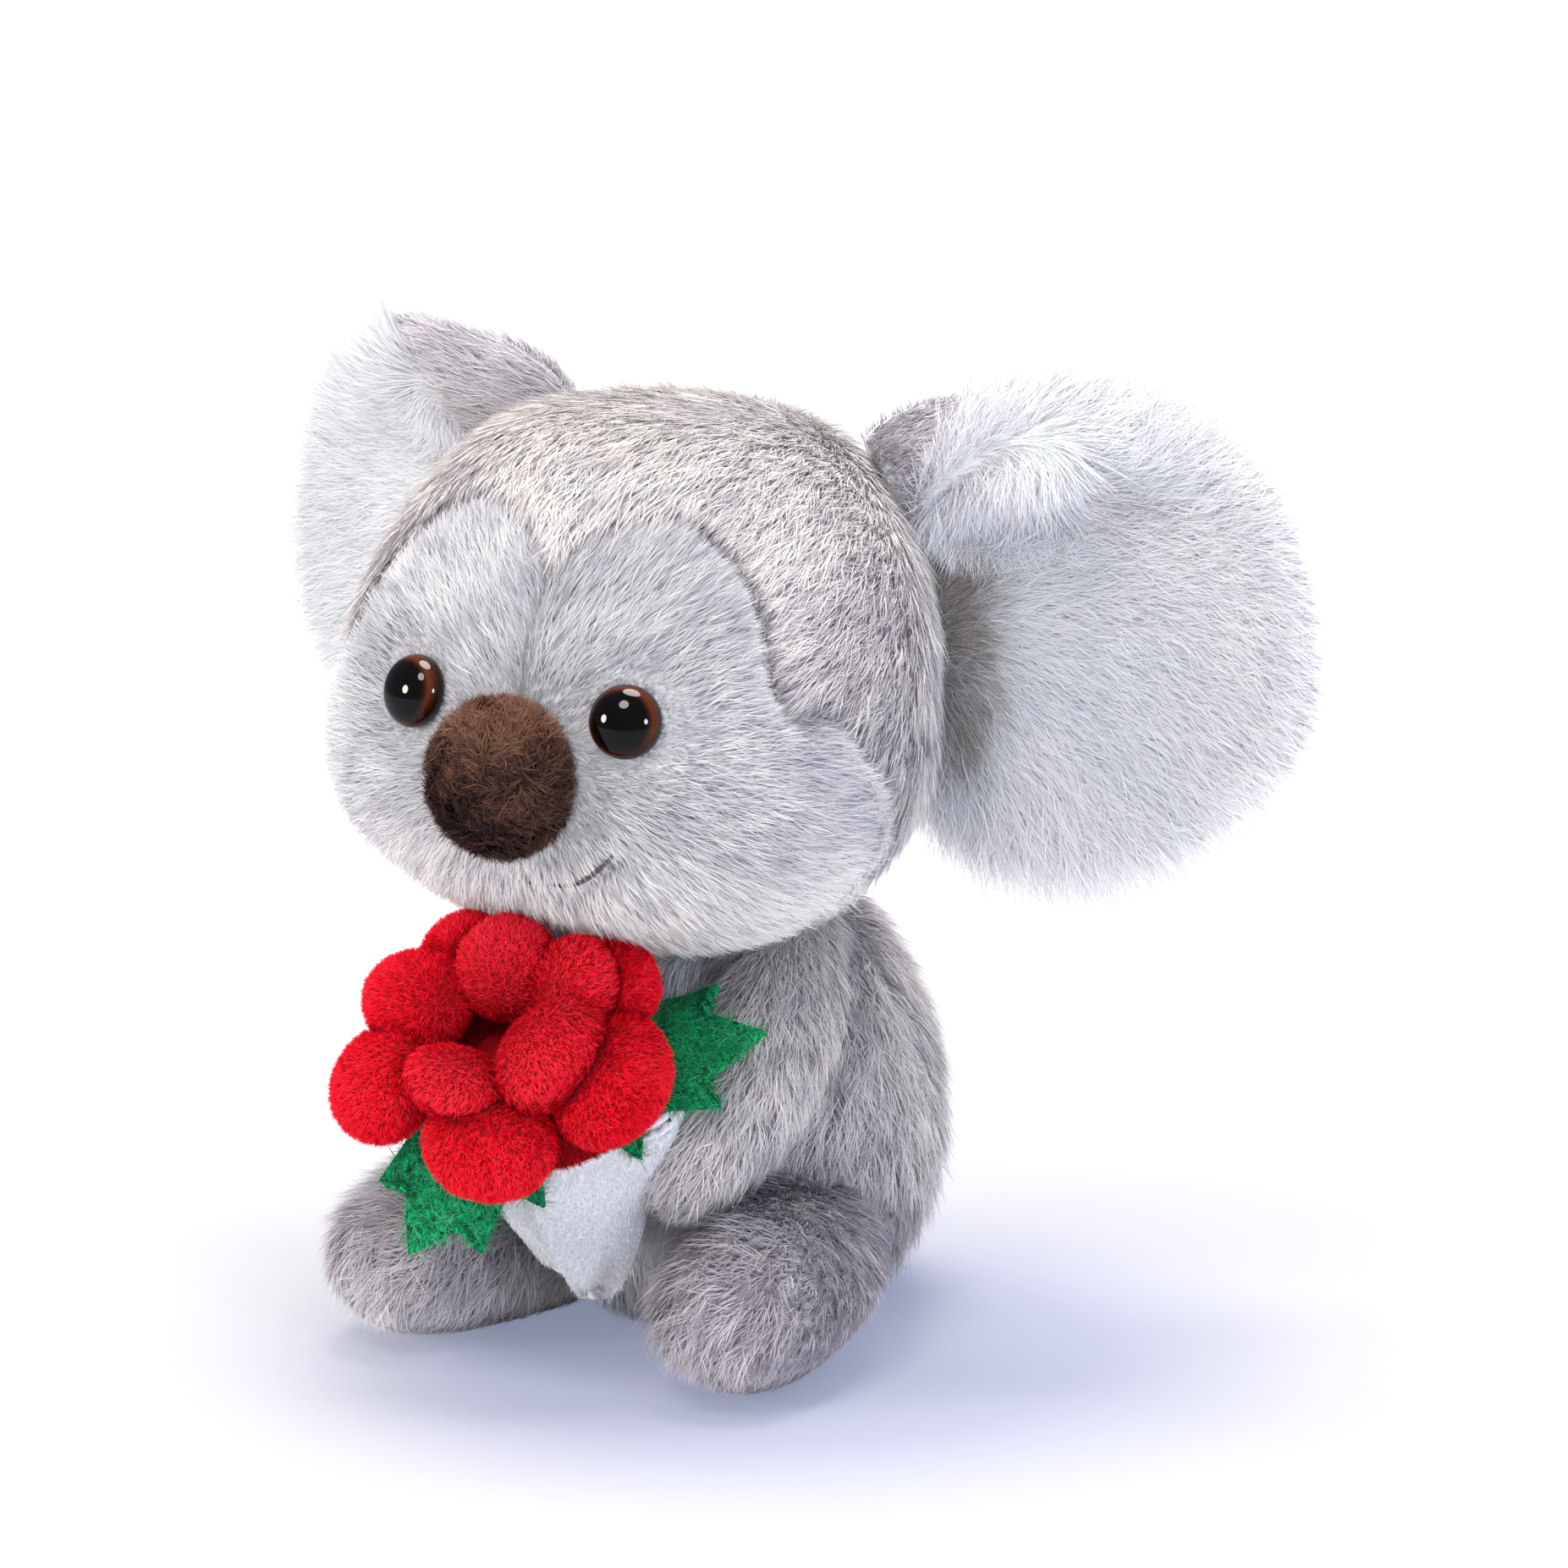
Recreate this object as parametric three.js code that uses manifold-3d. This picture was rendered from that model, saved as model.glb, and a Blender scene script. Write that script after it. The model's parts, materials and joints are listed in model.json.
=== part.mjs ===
// A sitting plush koala that holds a red plush rose bouquet.
// Millimetres, +Z up, the koala looks along -Y and its left side is +X.
// The origin is on the table, under the middle of the whole toy.
import * as THREE from 'three'
import { mergeVertices } from 'three/addons/utils/BufferGeometryUtils.js'
import Module from 'manifold-3d'

const wasm = await Module()
wasm.setup()

// Fits and cloth
const SEAT_GAP = 0.3 // between pieces that touch
const HALF_GAP = SEAT_GAP / 2
const HEAD_SWEEP_GAP = 0.9 // between the turning head and what is under it
const EAR_SWEEP_GAP = 0.45 // between the head and an ear that folds
const PLUSH_WALL = 1.4 // plush fabric with its backing
const SHORT_PLUSH_WALL = 1.2 // wrapper cloth
const FELT = 1.0
const FLAT_CUT = 0.5 // how deep a soft underside presses flat on the table
const FAR = 200 // larger than the toy, for cutting blocks

// Body
const BODY_HALF_HEIGHT = 30.2
const BODY_HALF_WIDTH = 27.5
const BODY_FRONT = 26
const BODY_BACK = 27.3
const NECK_HEIGHT = 58.5
const NECK_Y = -19

// Head
const HEAD_HALF_HEIGHT = 35.7
const HEAD_HALF_WIDTH = 40.7
const HEAD_FRONT = 32.5
const HEAD_BACK = 36.5
const HEAD_Y = -24.5
const HEAD_Z = 94.3
const HEAD_LEAN = 3.5
const HEAD_BOW = 4.5
const HEAD_ROLL = THREE.MathUtils.degToRad(1.2)
const HEAD_TURN_RANGE = THREE.MathUtils.degToRad(12)

// Face
const NOSE_HALF_WIDTH = 9.9
const NOSE_HALF_HEIGHT = 10.3
const NOSE_HALF_DEPTH = 8.6
const NOSE_STAND_OFF = 2.4
const EYE_RADIUS = 5
const EYE_DOME = 4.1
const EYE_RIM = 0.8
const STEM_RADIUS = 1.5
const STEM_LENGTH = 8
const WASHER_RADIUS = 4.6
const WASHER_THICKNESS = 1.2
const WASHER_DEPTH = 2.6
const EYE_LEVEL_SHARE = 0.02
const EYE_ANGLE = THREE.MathUtils.degToRad(20.5)
const NOSE_LEVEL_SHARE = -0.225
const THREAD_RADIUS = 0.45
const MOUTH_LOW_SHARE = -0.665
const MOUTH_RISE_SHARE = 0.2
const MOUTH_HALF_ANGLE = THREE.MathUtils.degToRad(16.5)

// Ears
const EAR_CENTRE_X = 52.7
const EAR_CENTRE_Y = 11
const EAR_CENTRE_Z = 99.9
const EAR_SPAN = 33.4
const EAR_SWEEP_BACK = THREE.MathUtils.degToRad(20)
const EAR_CUP = 6.5
const EAR_LIP = 5
const EAR_RIM_THICKNESS = 1.3
const EAR_PAD = 2.3
const EAR_ROOT_REACH = 27.5
const EAR_FOLD_RANGE = THREE.MathUtils.degToRad(20)

// Limbs
const LEG_RADIUS = 12.2
const FOOT_RADIUS = 11.9
const HIP_X = 14
const HIP_Y = -3
const KNEE_X = 23.5
const KNEE_Y = -27
const TOE_X = 28.6
const TOE_Y = -51.5
const SHOULDER_RADIUS = 7.8
const PAW_RADIUS = 7.8
const armSpine = { x: [13.5, 18.6, 19.4, 14.4], y: [-8, -19, -29.5, -41], z: [61.5, 50, 39.4, 27.5] }

// Bouquet
const FLOWER_X = -3.6
const FLOWER_Y = -53
const FLOWER_Z = 47.3
const FLOWER_TILT = THREE.MathUtils.degToRad(46)
const FLOWER_TURN = THREE.MathUtils.degToRad(12)
const FLOWER_RADIUS = 18
const WRAPPER_DROP = 7
const WRAPPER_RADIUS = 19.4
const WRAPPER_ASIDE = 3.2
const WRAPPER_TIP_RADIUS = 4
const TIP_X = -1.9
const TIP_Y = -37.5
const TIP_Z = 12.5
const WRAPPER_FLAT_SHARE = 0.65
const FLAP_THICKNESS = 1.1
const FLAP_ANGLE = THREE.MathUtils.degToRad(-40)
const FLAP_SPREAD = THREE.MathUtils.degToRad(44)
const BASE_TOP = 2.4 // below the flower's middle
const LABEL_RADIUS = 4.6
const LABEL_THICKNESS = 0.8
const BASE_LIP = 1.2 // flat ring round the label
const LEAF_DROP = 5.7
const LEAF_HANG = 22.4
const LEAF_ASIDE = 11.7
const LEAF_SHIFT = 1.8
const LEAF_FORWARD = 4.4
const LEAF_LEAN = 3.4

// Forms: each level runs from -1 at the bottom to 1 at the top.
const headForm = {
  centre: new THREE.Vector3(0, HEAD_Y, HEAD_Z),
  halfHeight: HEAD_HALF_HEIGHT, halfWidth: HEAD_HALF_WIDTH, front: HEAD_FRONT, back: HEAD_BACK,
  lean: HEAD_LEAN, bow: HEAD_BOW, roundness: 0.29, rows: 12, columns: 20,
  levelShares: [-1, -0.86, -0.65, -0.45, -0.2, 0, 0.25, 0.5, 0.75, 0.9, 1],
  frontShares: [0.8, 0.9, 0.985, 1, 0.98, 0.955, 0.92, 0.86, 0.84, 0.88, 0.9],
  backShares: [0.8, 0.86, 0.94, 0.98, 1, 1, 1, 0.98, 0.95, 0.93, 0.9],
  widthShares: [0.86, 0.93, 1, 1.03, 1.02, 1, 0.985, 0.96, 0.93, 0.92, 0.92],
  plumpShares: [1, 0.84, 0.76, 0.76, 0.82, 0.86, 0.9, 0.95, 1, 1, 1],
}
const bodyForm = {
  centre: new THREE.Vector3(0, 0, BODY_HALF_HEIGHT - FLAT_CUT),
  halfHeight: BODY_HALF_HEIGHT, halfWidth: BODY_HALF_WIDTH, front: BODY_FRONT, back: BODY_BACK,
  lean: 0, bow: 0, roundness: 0.24, rows: 10, columns: 16,
  levelShares: [-1, 0, 0.3, 0.6, 1],
  frontShares: [1, 1, 1.05, 1.13, 1.3],
  backShares: [1, 1, 0.95, 0.87, 0.68],
  widthShares: [1, 1, 0.98, 0.94, 0.9],
  plumpShares: [1, 1, 1, 1, 1],
}

// The pale face panel: how high it reaches at each angle from the middle of the face.
const faceAngles = [0, 7, 18, 29, 40, 47, 50, 52, 70, 76, 84, 90, 94, 98]
const faceTopShares = [
  0.53, 0.62, 0.69, 0.7, 0.63, 0.5, 0.36, 0.2, 0.03, -0.06, -0.18, -0.34, -0.5, -0.7,
]
const FACE_LOW_SHARE = -0.992
const bellyAngles = [-46, -32, -16, 0, 16, 32, 46]
const BELLY_LOW_SHARE = -0.9
const BELLY_TOP_SHARE = 0.985

// Ear outline from the middle of the ear, from the outer side round over the top, as shares of EAR_SPAN.
const earOutShares = [
  0.85, 0.8, 0.62, 0.3, -0.02, -0.36, -0.8, -1.05, -1.06, -1.0, -0.86, -0.66, -0.28, 0.2, 0.6, 0.8,
]
const earUpShares = [
  -0.05, 0.3, 0.7, 0.94, 1.03, 1.02, 0.94, 0.7, 0.25, -0.2, -0.52, -0.78, -0.92, -0.86, -0.6, -0.32,
]

// Petals, six outer and then four inner: the angle round the flower and the lean outwards, in degrees.
const petalTurns = [-83, -153, 162, 122, 42, -14, -108, -27, 36, 95]
const petalTilts = [32, 28, 8, 5, 8, 30, -30, -38, -35, -35]
const petalReachShares = [0.86, 0.95, 0.76, 0.86, 0.92, 0.94, 0.56, 0.6, 0.68, 0.52]
const petalHeightShares = [0.04, 0.05, 0.2, 0.12, 0.1, 0.05, 0.36, 0.42, 0.36, 0.3]
const petalWideShares = [0.47, 0.42, 0.37, 0.36, 0.42, 0.52, 0.41, 0.45, 0.35, 0.37]
const petalLongShares = [0.4, 0.42, 0.36, 0.32, 0.34, 0.4, 0.3, 0.33, 0.34, 0.36]
const petalThickShares = [0.3, 0.31, 0.31, 0.26, 0.27, 0.31, 0.24, 0.25, 0.25, 0.26]
const OUTER_PETALS = 6
const PETAL_ROWS = 7
const WRAPPER_COLUMNS = 16
const PETAL_COLUMNS = 11

// Half of a leaf's toothed outline, from root to tip, as shares of its length.
const leafAlongShares = [0, 0.12, 0.36, 0.4, 0.77, 0.69, 1]
const leafAcrossShares = [0.14, 0.34, 0.52, 0.3, 0.34, 0.2, 0]

const colours = {
  greyPlush: 0xb5afb0, palePlush: 0xe4e2e0, whitePlush: 0xeef0f2, nosePlush: 0x4a3436,
  eyePlastic: 0x1d0f0a, washerPlastic: 0xe8e8e4, thread: 0x4b4244, filling: 0xf4f3ef,
  redPlush: 0xc8141f, redFabric: 0xb01018, greenFelt: 0x0f8a45, wrapperPlush: 0xefefec,
}

// Geometry helpers

function lookUp(places, values, place) {
  for (let i = 1; i < places.length; i++) {
    if (place > places[i] && i < places.length - 1) continue
    const part = (place - places[i - 1]) / (places[i] - places[i - 1])
    return values[i - 1] + (values[i] - values[i - 1]) * part
  }
  return values[0]
}

function smooth(value, from, to) {
  return THREE.MathUtils.smoothstep(value, from, to)
}

function signedPower(value, power) {
  return Math.sign(value) * Math.abs(value) ** power
}

// Evenly spaced angles round a full turn.
function turnAngles(count) {
  return Array.from({ length: count }, (_, j) => (2 * Math.PI * j) / count)
}

function middleOf(points) {
  return points.reduce((sum, point) => sum.add(point), new THREE.Vector3()).divideScalar(points.length)
}

// A closed mesh from points and faces, turned so that its faces point outwards.
function closedMesh(points, faces) {
  let volume = 0
  for (const [a, b, c] of faces) volume += points[a].dot(points[b].clone().cross(points[c]))
  const index = volume < 0 ? faces.map(([a, b, c]) => [a, c, b]) : faces
  const geometry = new THREE.BufferGeometry()
  const places = points.flatMap((point) => [point.x, point.y, point.z])
  geometry.setAttribute('position', new THREE.Float32BufferAttribute(places, 3))
  geometry.setIndex(index.flat())
  return geometry
}

// Rings of equal point counts, closed with a point at each end.
function ringMesh(start, rings, end) {
  const count = rings[0].length
  const points = [start, ...rings.flat(), end]
  const last = points.length - 1
  const faces = []
  for (let j = 0; j < count; j++) {
    const next = (j + 1) % count
    faces.push([0, 1 + next, 1 + j])
    const base = 1 + (rings.length - 1) * count
    faces.push([last, base + j, base + next])
    for (let i = 0; i < rings.length - 1; i++) {
      const low = 1 + i * count
      const high = low + count
      faces.push([low + j, low + next, high + next], [low + j, high + next, high + j])
    }
  }
  return closedMesh(points, faces)
}

// A sheet with thickness, from two grids of points that face each other.
function slabMesh(front, back) {
  const rows = front.length
  const columns = front[0].length
  const points = [...front.flat(), ...back.flat()]
  const at = (side, i, j) => side * rows * columns + i * columns + j
  const faces = []
  const quad = (a, b, c, d) => faces.push([a, b, c], [a, c, d])
  for (let i = 0; i < rows - 1; i++) {
    for (let j = 0; j < columns - 1; j++) {
      quad(at(0, i, j), at(0, i, j + 1), at(0, i + 1, j + 1), at(0, i + 1, j))
      quad(at(1, i, j), at(1, i + 1, j), at(1, i + 1, j + 1), at(1, i, j + 1))
    }
    quad(at(0, i, 0), at(0, i + 1, 0), at(1, i + 1, 0), at(1, i, 0))
    const edge = columns - 1
    quad(at(0, i + 1, edge), at(0, i, edge), at(1, i, edge), at(1, i + 1, edge))
  }
  for (let j = 0; j < columns - 1; j++) {
    quad(at(0, 0, j + 1), at(0, 0, j), at(1, 0, j), at(1, 0, j + 1))
    const edge = rows - 1
    quad(at(0, edge, j), at(0, edge, j + 1), at(1, edge, j + 1), at(1, edge, j))
  }
  return closedMesh(points, faces)
}

function solidOf(geometry, place) {
  const bare = new THREE.BufferGeometry()
  const source = geometry.index ? geometry : mergeVertices(geometry)
  bare.setAttribute('position', source.getAttribute('position').clone())
  bare.setIndex([...source.index.array])
  if (place) bare.applyMatrix4(place)
  const merged = mergeVertices(bare)
  const mesh = new wasm.Mesh({
    numProp: 3,
    vertProperties: new Float32Array(merged.getAttribute('position').array),
    triVerts: new Uint32Array(merged.index.array),
  })
  return new wasm.Manifold(mesh)
}

function geometryOf(solid) {
  const mesh = solid.getMesh()
  const geometry = new THREE.BufferGeometry()
  geometry.setAttribute('position', new THREE.Float32BufferAttribute(mesh.vertProperties, 3))
  geometry.setIndex([...mesh.triVerts])
  return geometry
}

function without(solid, ...cutters) {
  return cutters.reduce((rest, cutter) => rest.subtract(cutter), solid)
}

// Positions only, so that a ready-made shape can be cut.
function bareShape(geometry) {
  const bare = new THREE.BufferGeometry()
  bare.setAttribute('position', geometry.getAttribute('position'))
  if (geometry.index) bare.setIndex(geometry.index)
  return mergeVertices(bare)
}

// Stuffed forms

function formPoint(form, level, angle, inset) {
  const look = (values) => lookUp(form.levelShares, values, level)
  const front = Math.cos(angle) >= 0
  const ring = Math.max(0, 1 - level ** 2) ** form.roundness
  const power = front ? look(form.plumpShares) : 1
  const reach = front ? form.front : form.back
  const depth = (reach - inset) * look(front ? form.frontShares : form.backShares)
  const width = (form.halfWidth - inset) * look(form.widthShares)
  const sway = form.lean * level + form.bow * level ** 2
  return new THREE.Vector3(
    form.centre.x + width * ring * signedPower(Math.sin(angle), power),
    form.centre.y + sway - depth * ring * signedPower(Math.cos(angle), power),
    form.centre.z + (form.halfHeight - inset) * level,
  )
}

function formMesh(form, inset) {
  const rings = []
  for (let i = 1; i < form.rows; i++) {
    const level = -Math.cos((Math.PI * i) / form.rows)
    rings.push(turnAngles(form.columns).map((angle) => formPoint(form, level, angle, inset)))
  }
  return ringMesh(formPoint(form, -1, 0, inset), rings, formPoint(form, 1, 0, inset))
}

// A wedge of a form, from deep inside to well outside, that picks one sewn panel out of its wall.
function panelWedge(form, angles, lows, highs, options) {
  const { mirror = 1, spread = 0, topSpread = spread, shift = 0 } = options
  const outShare = 1.12
  const inShare = 0.84
  const rows = 6
  const extra = THREE.MathUtils.radToDeg(spread / form.halfWidth)
  const grid = (share) => angles.map((angle, i) => {
    const edge = i === angles.length - 1 || (i === 0 && shift === 0) ? extra * Math.sign(angle) : 0
    return Array.from({ length: rows }, (_, j) => {
      const top = highs[i] + topSpread / form.halfHeight
      const level = lows[i] + ((top - lows[i]) * j) / (rows - 1)
      const point = formPoint(form, Math.min(level, 1), THREE.MathUtils.degToRad(angle + edge), 0)
      point.sub(form.centre).multiplyScalar(share).add(form.centre)
      point.x = mirror * (point.x + (i === 0 ? shift : 0))
      return point
    })
  })
  return slabMesh(grid(outShare), grid(inShare))
}

// A limb along a smooth spine, rounded at both ends and tapering from one radius to the other.
function limbMesh(spine, startRadius, endRadius, inset) {
  const rows = 8
  const columns = 11
  const roundness = 0.3
  const curve = new THREE.CatmullRomCurve3(spine)
  const along = (part) => curve.getPointAt(part)
    .addScaledVector(curve.getTangentAt(part), inset * (1 - 2 * part))
  const rings = []
  for (let i = 1; i < rows; i++) {
    const part = (1 - Math.cos((Math.PI * i) / rows)) / 2
    const direction = curve.getTangentAt(part)
    const side = new THREE.Vector3(0, 0, 1).cross(direction).normalize()
    const rise = direction.clone().cross(side)
    const full = THREE.MathUtils.lerp(startRadius, endRadius, part) - inset
    const radius = full * (1 - (2 * part - 1) ** 2) ** roundness
    rings.push(turnAngles(columns).map((angle) => along(part)
      .addScaledVector(side, radius * Math.cos(angle)).addScaledVector(rise, radius * Math.sin(angle))))
  }
  return ringMesh(along(0), rings, along(1))
}

function ballMesh(frame, halfWidth, halfLength, halfThickness, rows, columns) {
  const place = (x, y, z) => new THREE.Vector3(x, y, z).applyMatrix4(frame)
  const rings = []
  for (let i = 1; i < rows; i++) {
    const level = -Math.cos((Math.PI * i) / rows)
    const ring = Math.sqrt(1 - level ** 2)
    const width = halfWidth * ring
    const length = halfLength * ring
    rings.push(turnAngles(columns).map((angle) =>
      place(width * Math.cos(angle), length * Math.sin(angle), halfThickness * level)))
  }
  return ringMesh(place(0, 0, -halfThickness), rings, place(0, 0, halfThickness))
}

function blockBetween(low, high) {
  const size = high.clone().sub(low)
  const block = new THREE.BoxGeometry(size.x, size.y, size.z)
  return bareShape(block.translate((low.x + high.x) / 2, (low.y + high.y) / 2, (low.z + high.z) / 2))
}

// A frame on a form's surface: x sideways, y up and z straight out of the surface.
function surfaceFrame(form, level, angle, out) {
  const step = 0.01
  const at = formPoint(form, level, angle, 0)
  const side = formPoint(form, level, angle + step, 0).sub(at).normalize()
  const rise = formPoint(form, level + step, angle, 0).sub(at)
  const normal = side.clone().cross(rise).normalize()
  const up = normal.clone().cross(side)
  const frame = new THREE.Matrix4().makeBasis(side, up, normal)
  return frame.setPosition(at.addScaledVector(normal, out))
}

// Everything on the head leans with it, and the neck turns it about an upright line.
const headPlace = new THREE.Matrix4().makeTranslation(0, HEAD_Y, HEAD_Z)
  .multiply(new THREE.Matrix4().makeRotationY(HEAD_ROLL))
  .multiply(new THREE.Matrix4().makeTranslation(0, -HEAD_Y, -HEAD_Z))

function turnedAbout(point, axis, angle) {
  return new THREE.Matrix4().makeTranslation(point.x, point.y, point.z)
    .multiply(new THREE.Matrix4().makeRotationAxis(axis, angle))
    .multiply(new THREE.Matrix4().makeTranslation(-point.x, -point.y, -point.z))
}

const up = new THREE.Vector3(0, 0, 1)
const pieces = []
const keep = (name, solid, colour, finish = 'plush') => pieces.push({ name, solid, colour, finish })

// Cutting blocks: the table, and the flat joint at the neck
const table = solidOf(blockBetween(new THREE.Vector3(-FAR, -FAR, -FAR), new THREE.Vector3(FAR, FAR, 0)))
const aboveNeck = solidOf(blockBetween(
  new THREE.Vector3(-FAR, -FAR, NECK_HEIGHT - HALF_GAP), new THREE.Vector3(FAR, FAR, FAR)))
const belowNeck = solidOf(blockBetween(
  new THREE.Vector3(-FAR, -FAR, -FAR), new THREE.Vector3(FAR, FAR, NECK_HEIGHT + HALF_GAP)))

function headSwept() {
  const neck = new THREE.Vector3(0, NECK_Y, 0)
  const turnShares = [-1, -0.5, 0, 0.5, 1]
  return turnShares.map((share) => {
    const turn = turnedAbout(neck, up, HEAD_TURN_RANGE * share)
    return solidOf(formMesh(headForm, -HEAD_SWEEP_GAP), turn.multiply(headPlace))
  })
}
const sweptHead = headSwept()

function buildBody() {
  const outer = without(solidOf(formMesh(bodyForm, 0)), table, aboveNeck)
  const shell = outer.subtract(solidOf(formMesh(bodyForm, PLUSH_WALL)))
  const tops = bellyAngles.map(() => BELLY_TOP_SHARE)
  const belly = (spread) => {
    const lows = bellyAngles.map(() => BELLY_LOW_SHARE - spread / BODY_HALF_HEIGHT)
    return solidOf(panelWedge(bodyForm, bellyAngles, lows, tops, { spread, topSpread: 0 }))
  }
  keep('body_back_panel', shell.subtract(belly(SEAT_GAP)), colours.greyPlush)
  keep('belly_panel', shell.intersect(belly(0)), colours.whitePlush)
  const filling = solidOf(formMesh(bodyForm, PLUSH_WALL + SEAT_GAP))
  const aboveFilling = solidOf(blockBetween(
    new THREE.Vector3(-FAR, -FAR, NECK_HEIGHT - HALF_GAP - SEAT_GAP), new THREE.Vector3(FAR, FAR, FAR)))
  keep('body_stuffing', filling.subtract(aboveFilling), colours.filling, 'filling')
}

function legSpine(mirror) {
  const height = LEG_RADIUS - FLAT_CUT
  return [
    new THREE.Vector3(mirror * HIP_X, HIP_Y, height), new THREE.Vector3(mirror * KNEE_X, KNEE_Y, height),
    new THREE.Vector3(mirror * TOE_X, TOE_Y, FOOT_RADIUS - FLAT_CUT),
  ]
}

function buildLegs() {
  const body = solidOf(formMesh(bodyForm, -SEAT_GAP))
  for (const [side, mirror] of [['left', 1], ['right', -1]]) {
    const leg = (inset) => solidOf(limbMesh(legSpine(mirror), LEG_RADIUS, FOOT_RADIUS, inset))
    const skin = without(leg(0), leg(PLUSH_WALL), body, table)
    keep(`leg_${side}`, skin, colours.greyPlush)
    keep(`leg_${side}_stuffing`, leg(PLUSH_WALL + SEAT_GAP).subtract(body), colours.filling, 'filling')
  }
}

// The flower's own frame: x and y across it, z along the way it faces.
const flowerFrame = new THREE.Matrix4().makeTranslation(FLOWER_X, FLOWER_Y, FLOWER_Z)
  .multiply(new THREE.Matrix4().makeRotationZ(FLOWER_TURN))
  .multiply(new THREE.Matrix4().makeRotationX(Math.PI / 2 - FLOWER_TILT))

function flowerPoint(across, rise, out) {
  return new THREE.Vector3(across, rise, out).applyMatrix4(flowerFrame)
}

// The wrapper is a cone of cloth with soft folds: part 0 is its rim under the flower, part 1 its tip.
function wrapperPoint(part, angle, inset) {
  const folds = 5
  const foldShare = 0.045
  const fold = 1 + foldShare * Math.cos(folds * angle + 1) * (1 - part)
  const radius = (THREE.MathUtils.lerp(WRAPPER_RADIUS, WRAPPER_TIP_RADIUS, part) - inset) * fold
  const across = WRAPPER_ASIDE + radius * Math.cos(angle)
  const rim = flowerPoint(across, radius * Math.sin(angle) * WRAPPER_FLAT_SHARE, -WRAPPER_DROP)
  const tip = new THREE.Vector3(
    TIP_X + radius * Math.cos(angle), TIP_Y + radius * Math.sin(angle) * Math.sin(FLOWER_TILT), TIP_Z)
  return rim.lerp(tip, part)
}

function wrapperMesh(inset, from, to, startOut) {
  const rows = 6
  const rings = Array.from({ length: rows }, (_, i) => {
    const part = from + ((to - from) * i) / (rows - 1)
    return turnAngles(WRAPPER_COLUMNS).map((angle) => wrapperPoint(part, angle, inset))
  })
  const lastShare = 0.6
  const drop = (WRAPPER_TIP_RADIUS - inset) * lastShare
  const start = middleOf(rings[0]).add(flowerPoint(0, 0, startOut).sub(flowerPoint(0, 0, 0)))
  return ringMesh(start, rings, middleOf(rings[rows - 1]).addScaledVector(up, -drop))
}

function wrapperSolids() {
  const outer = solidOf(wrapperMesh(0, 0, 1, 0))
  const hollowFromShare = -0.08
  const hollowToShare = 0.9
  const hollow = solidOf(wrapperMesh(SHORT_PLUSH_WALL, hollowFromShare, hollowToShare, SHORT_PLUSH_WALL))
  const grownFromShare = -0.01
  const grown = solidOf(wrapperMesh(-SEAT_GAP, grownFromShare, 1, SEAT_GAP))
  return { cloth: outer.subtract(hollow), grown }
}

// The flap is a second layer of the cloth, laid over the right half of the front and round at its end.
function flapMesh(grow) {
  const rows = 8
  const columns = 7
  const fromShare = 0.06
  const lengthShare = 0.86
  const roundShare = 0.8
  const grid = (inset) => Array.from({ length: rows }, (_, i) => {
    const down = i / (rows - 1)
    const reach = FLAP_SPREAD * Math.sqrt(1 - roundShare * down ** 3)
    return Array.from({ length: columns }, (_, j) => {
      const angle = FLAP_ANGLE + reach * ((2 * j) / (columns - 1) - 1)
      return wrapperPoint(fromShare + lengthShare * down, angle, inset)
    })
  })
  return slabMesh(grid(-SEAT_GAP - FLAP_THICKNESS - grow), grid(-SEAT_GAP + grow))
}

// The flower's base fills the top of the wrapper and rises to a flat round middle.
function baseMesh(inset) {
  const levels = 4
  const fromShare = 0.01
  const depthShare = 0.3
  const angles = turnAngles(WRAPPER_COLUMNS)
  const rings = Array.from({ length: levels }, (_, i) => {
    const part = fromShare + (depthShare * i) / (levels - 1)
    return angles.map((angle) => wrapperPoint(part, angle, SHORT_PLUSH_WALL + SEAT_GAP + inset))
  })
  const reach = LABEL_RADIUS + BASE_LIP - inset
  const top = angles.map((angle) =>
    flowerPoint(reach * Math.cos(angle), reach * Math.sin(angle), -BASE_TOP - inset))
  return ringMesh(flowerPoint(0, 0, -BASE_TOP - inset), [top, ...rings], middleOf(rings[levels - 1]))
}

function leafMesh(side, grow) {
  const outline = [...leafAlongShares.map((along, i) => [along, leafAcrossShares[i]]),
    ...leafAlongShares.slice(0, -1).map((along, i) => [along, -leafAcrossShares[i]]).reverse()]
  const length = side.tip.distanceTo(side.root)
  const corners = outline.map(([along, across]) => new THREE.Vector2(along * length, across * length))
  const thickness = { depth: FELT + 2 * grow, bevelEnabled: false, steps: 1 }
  const plate = new THREE.ExtrudeGeometry(new THREE.Shape(corners), thickness)
  plate.translate(0, 0, -FELT / 2 - grow)
  const along = side.tip.clone().sub(side.root).normalize()
  const across = side.facing.clone().cross(along).normalize()
  const facing = along.clone().cross(across)
  const frame = new THREE.Matrix4().makeBasis(along, across, facing).setPosition(side.root)
  return bareShape(plate).applyMatrix4(frame)
}

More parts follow.
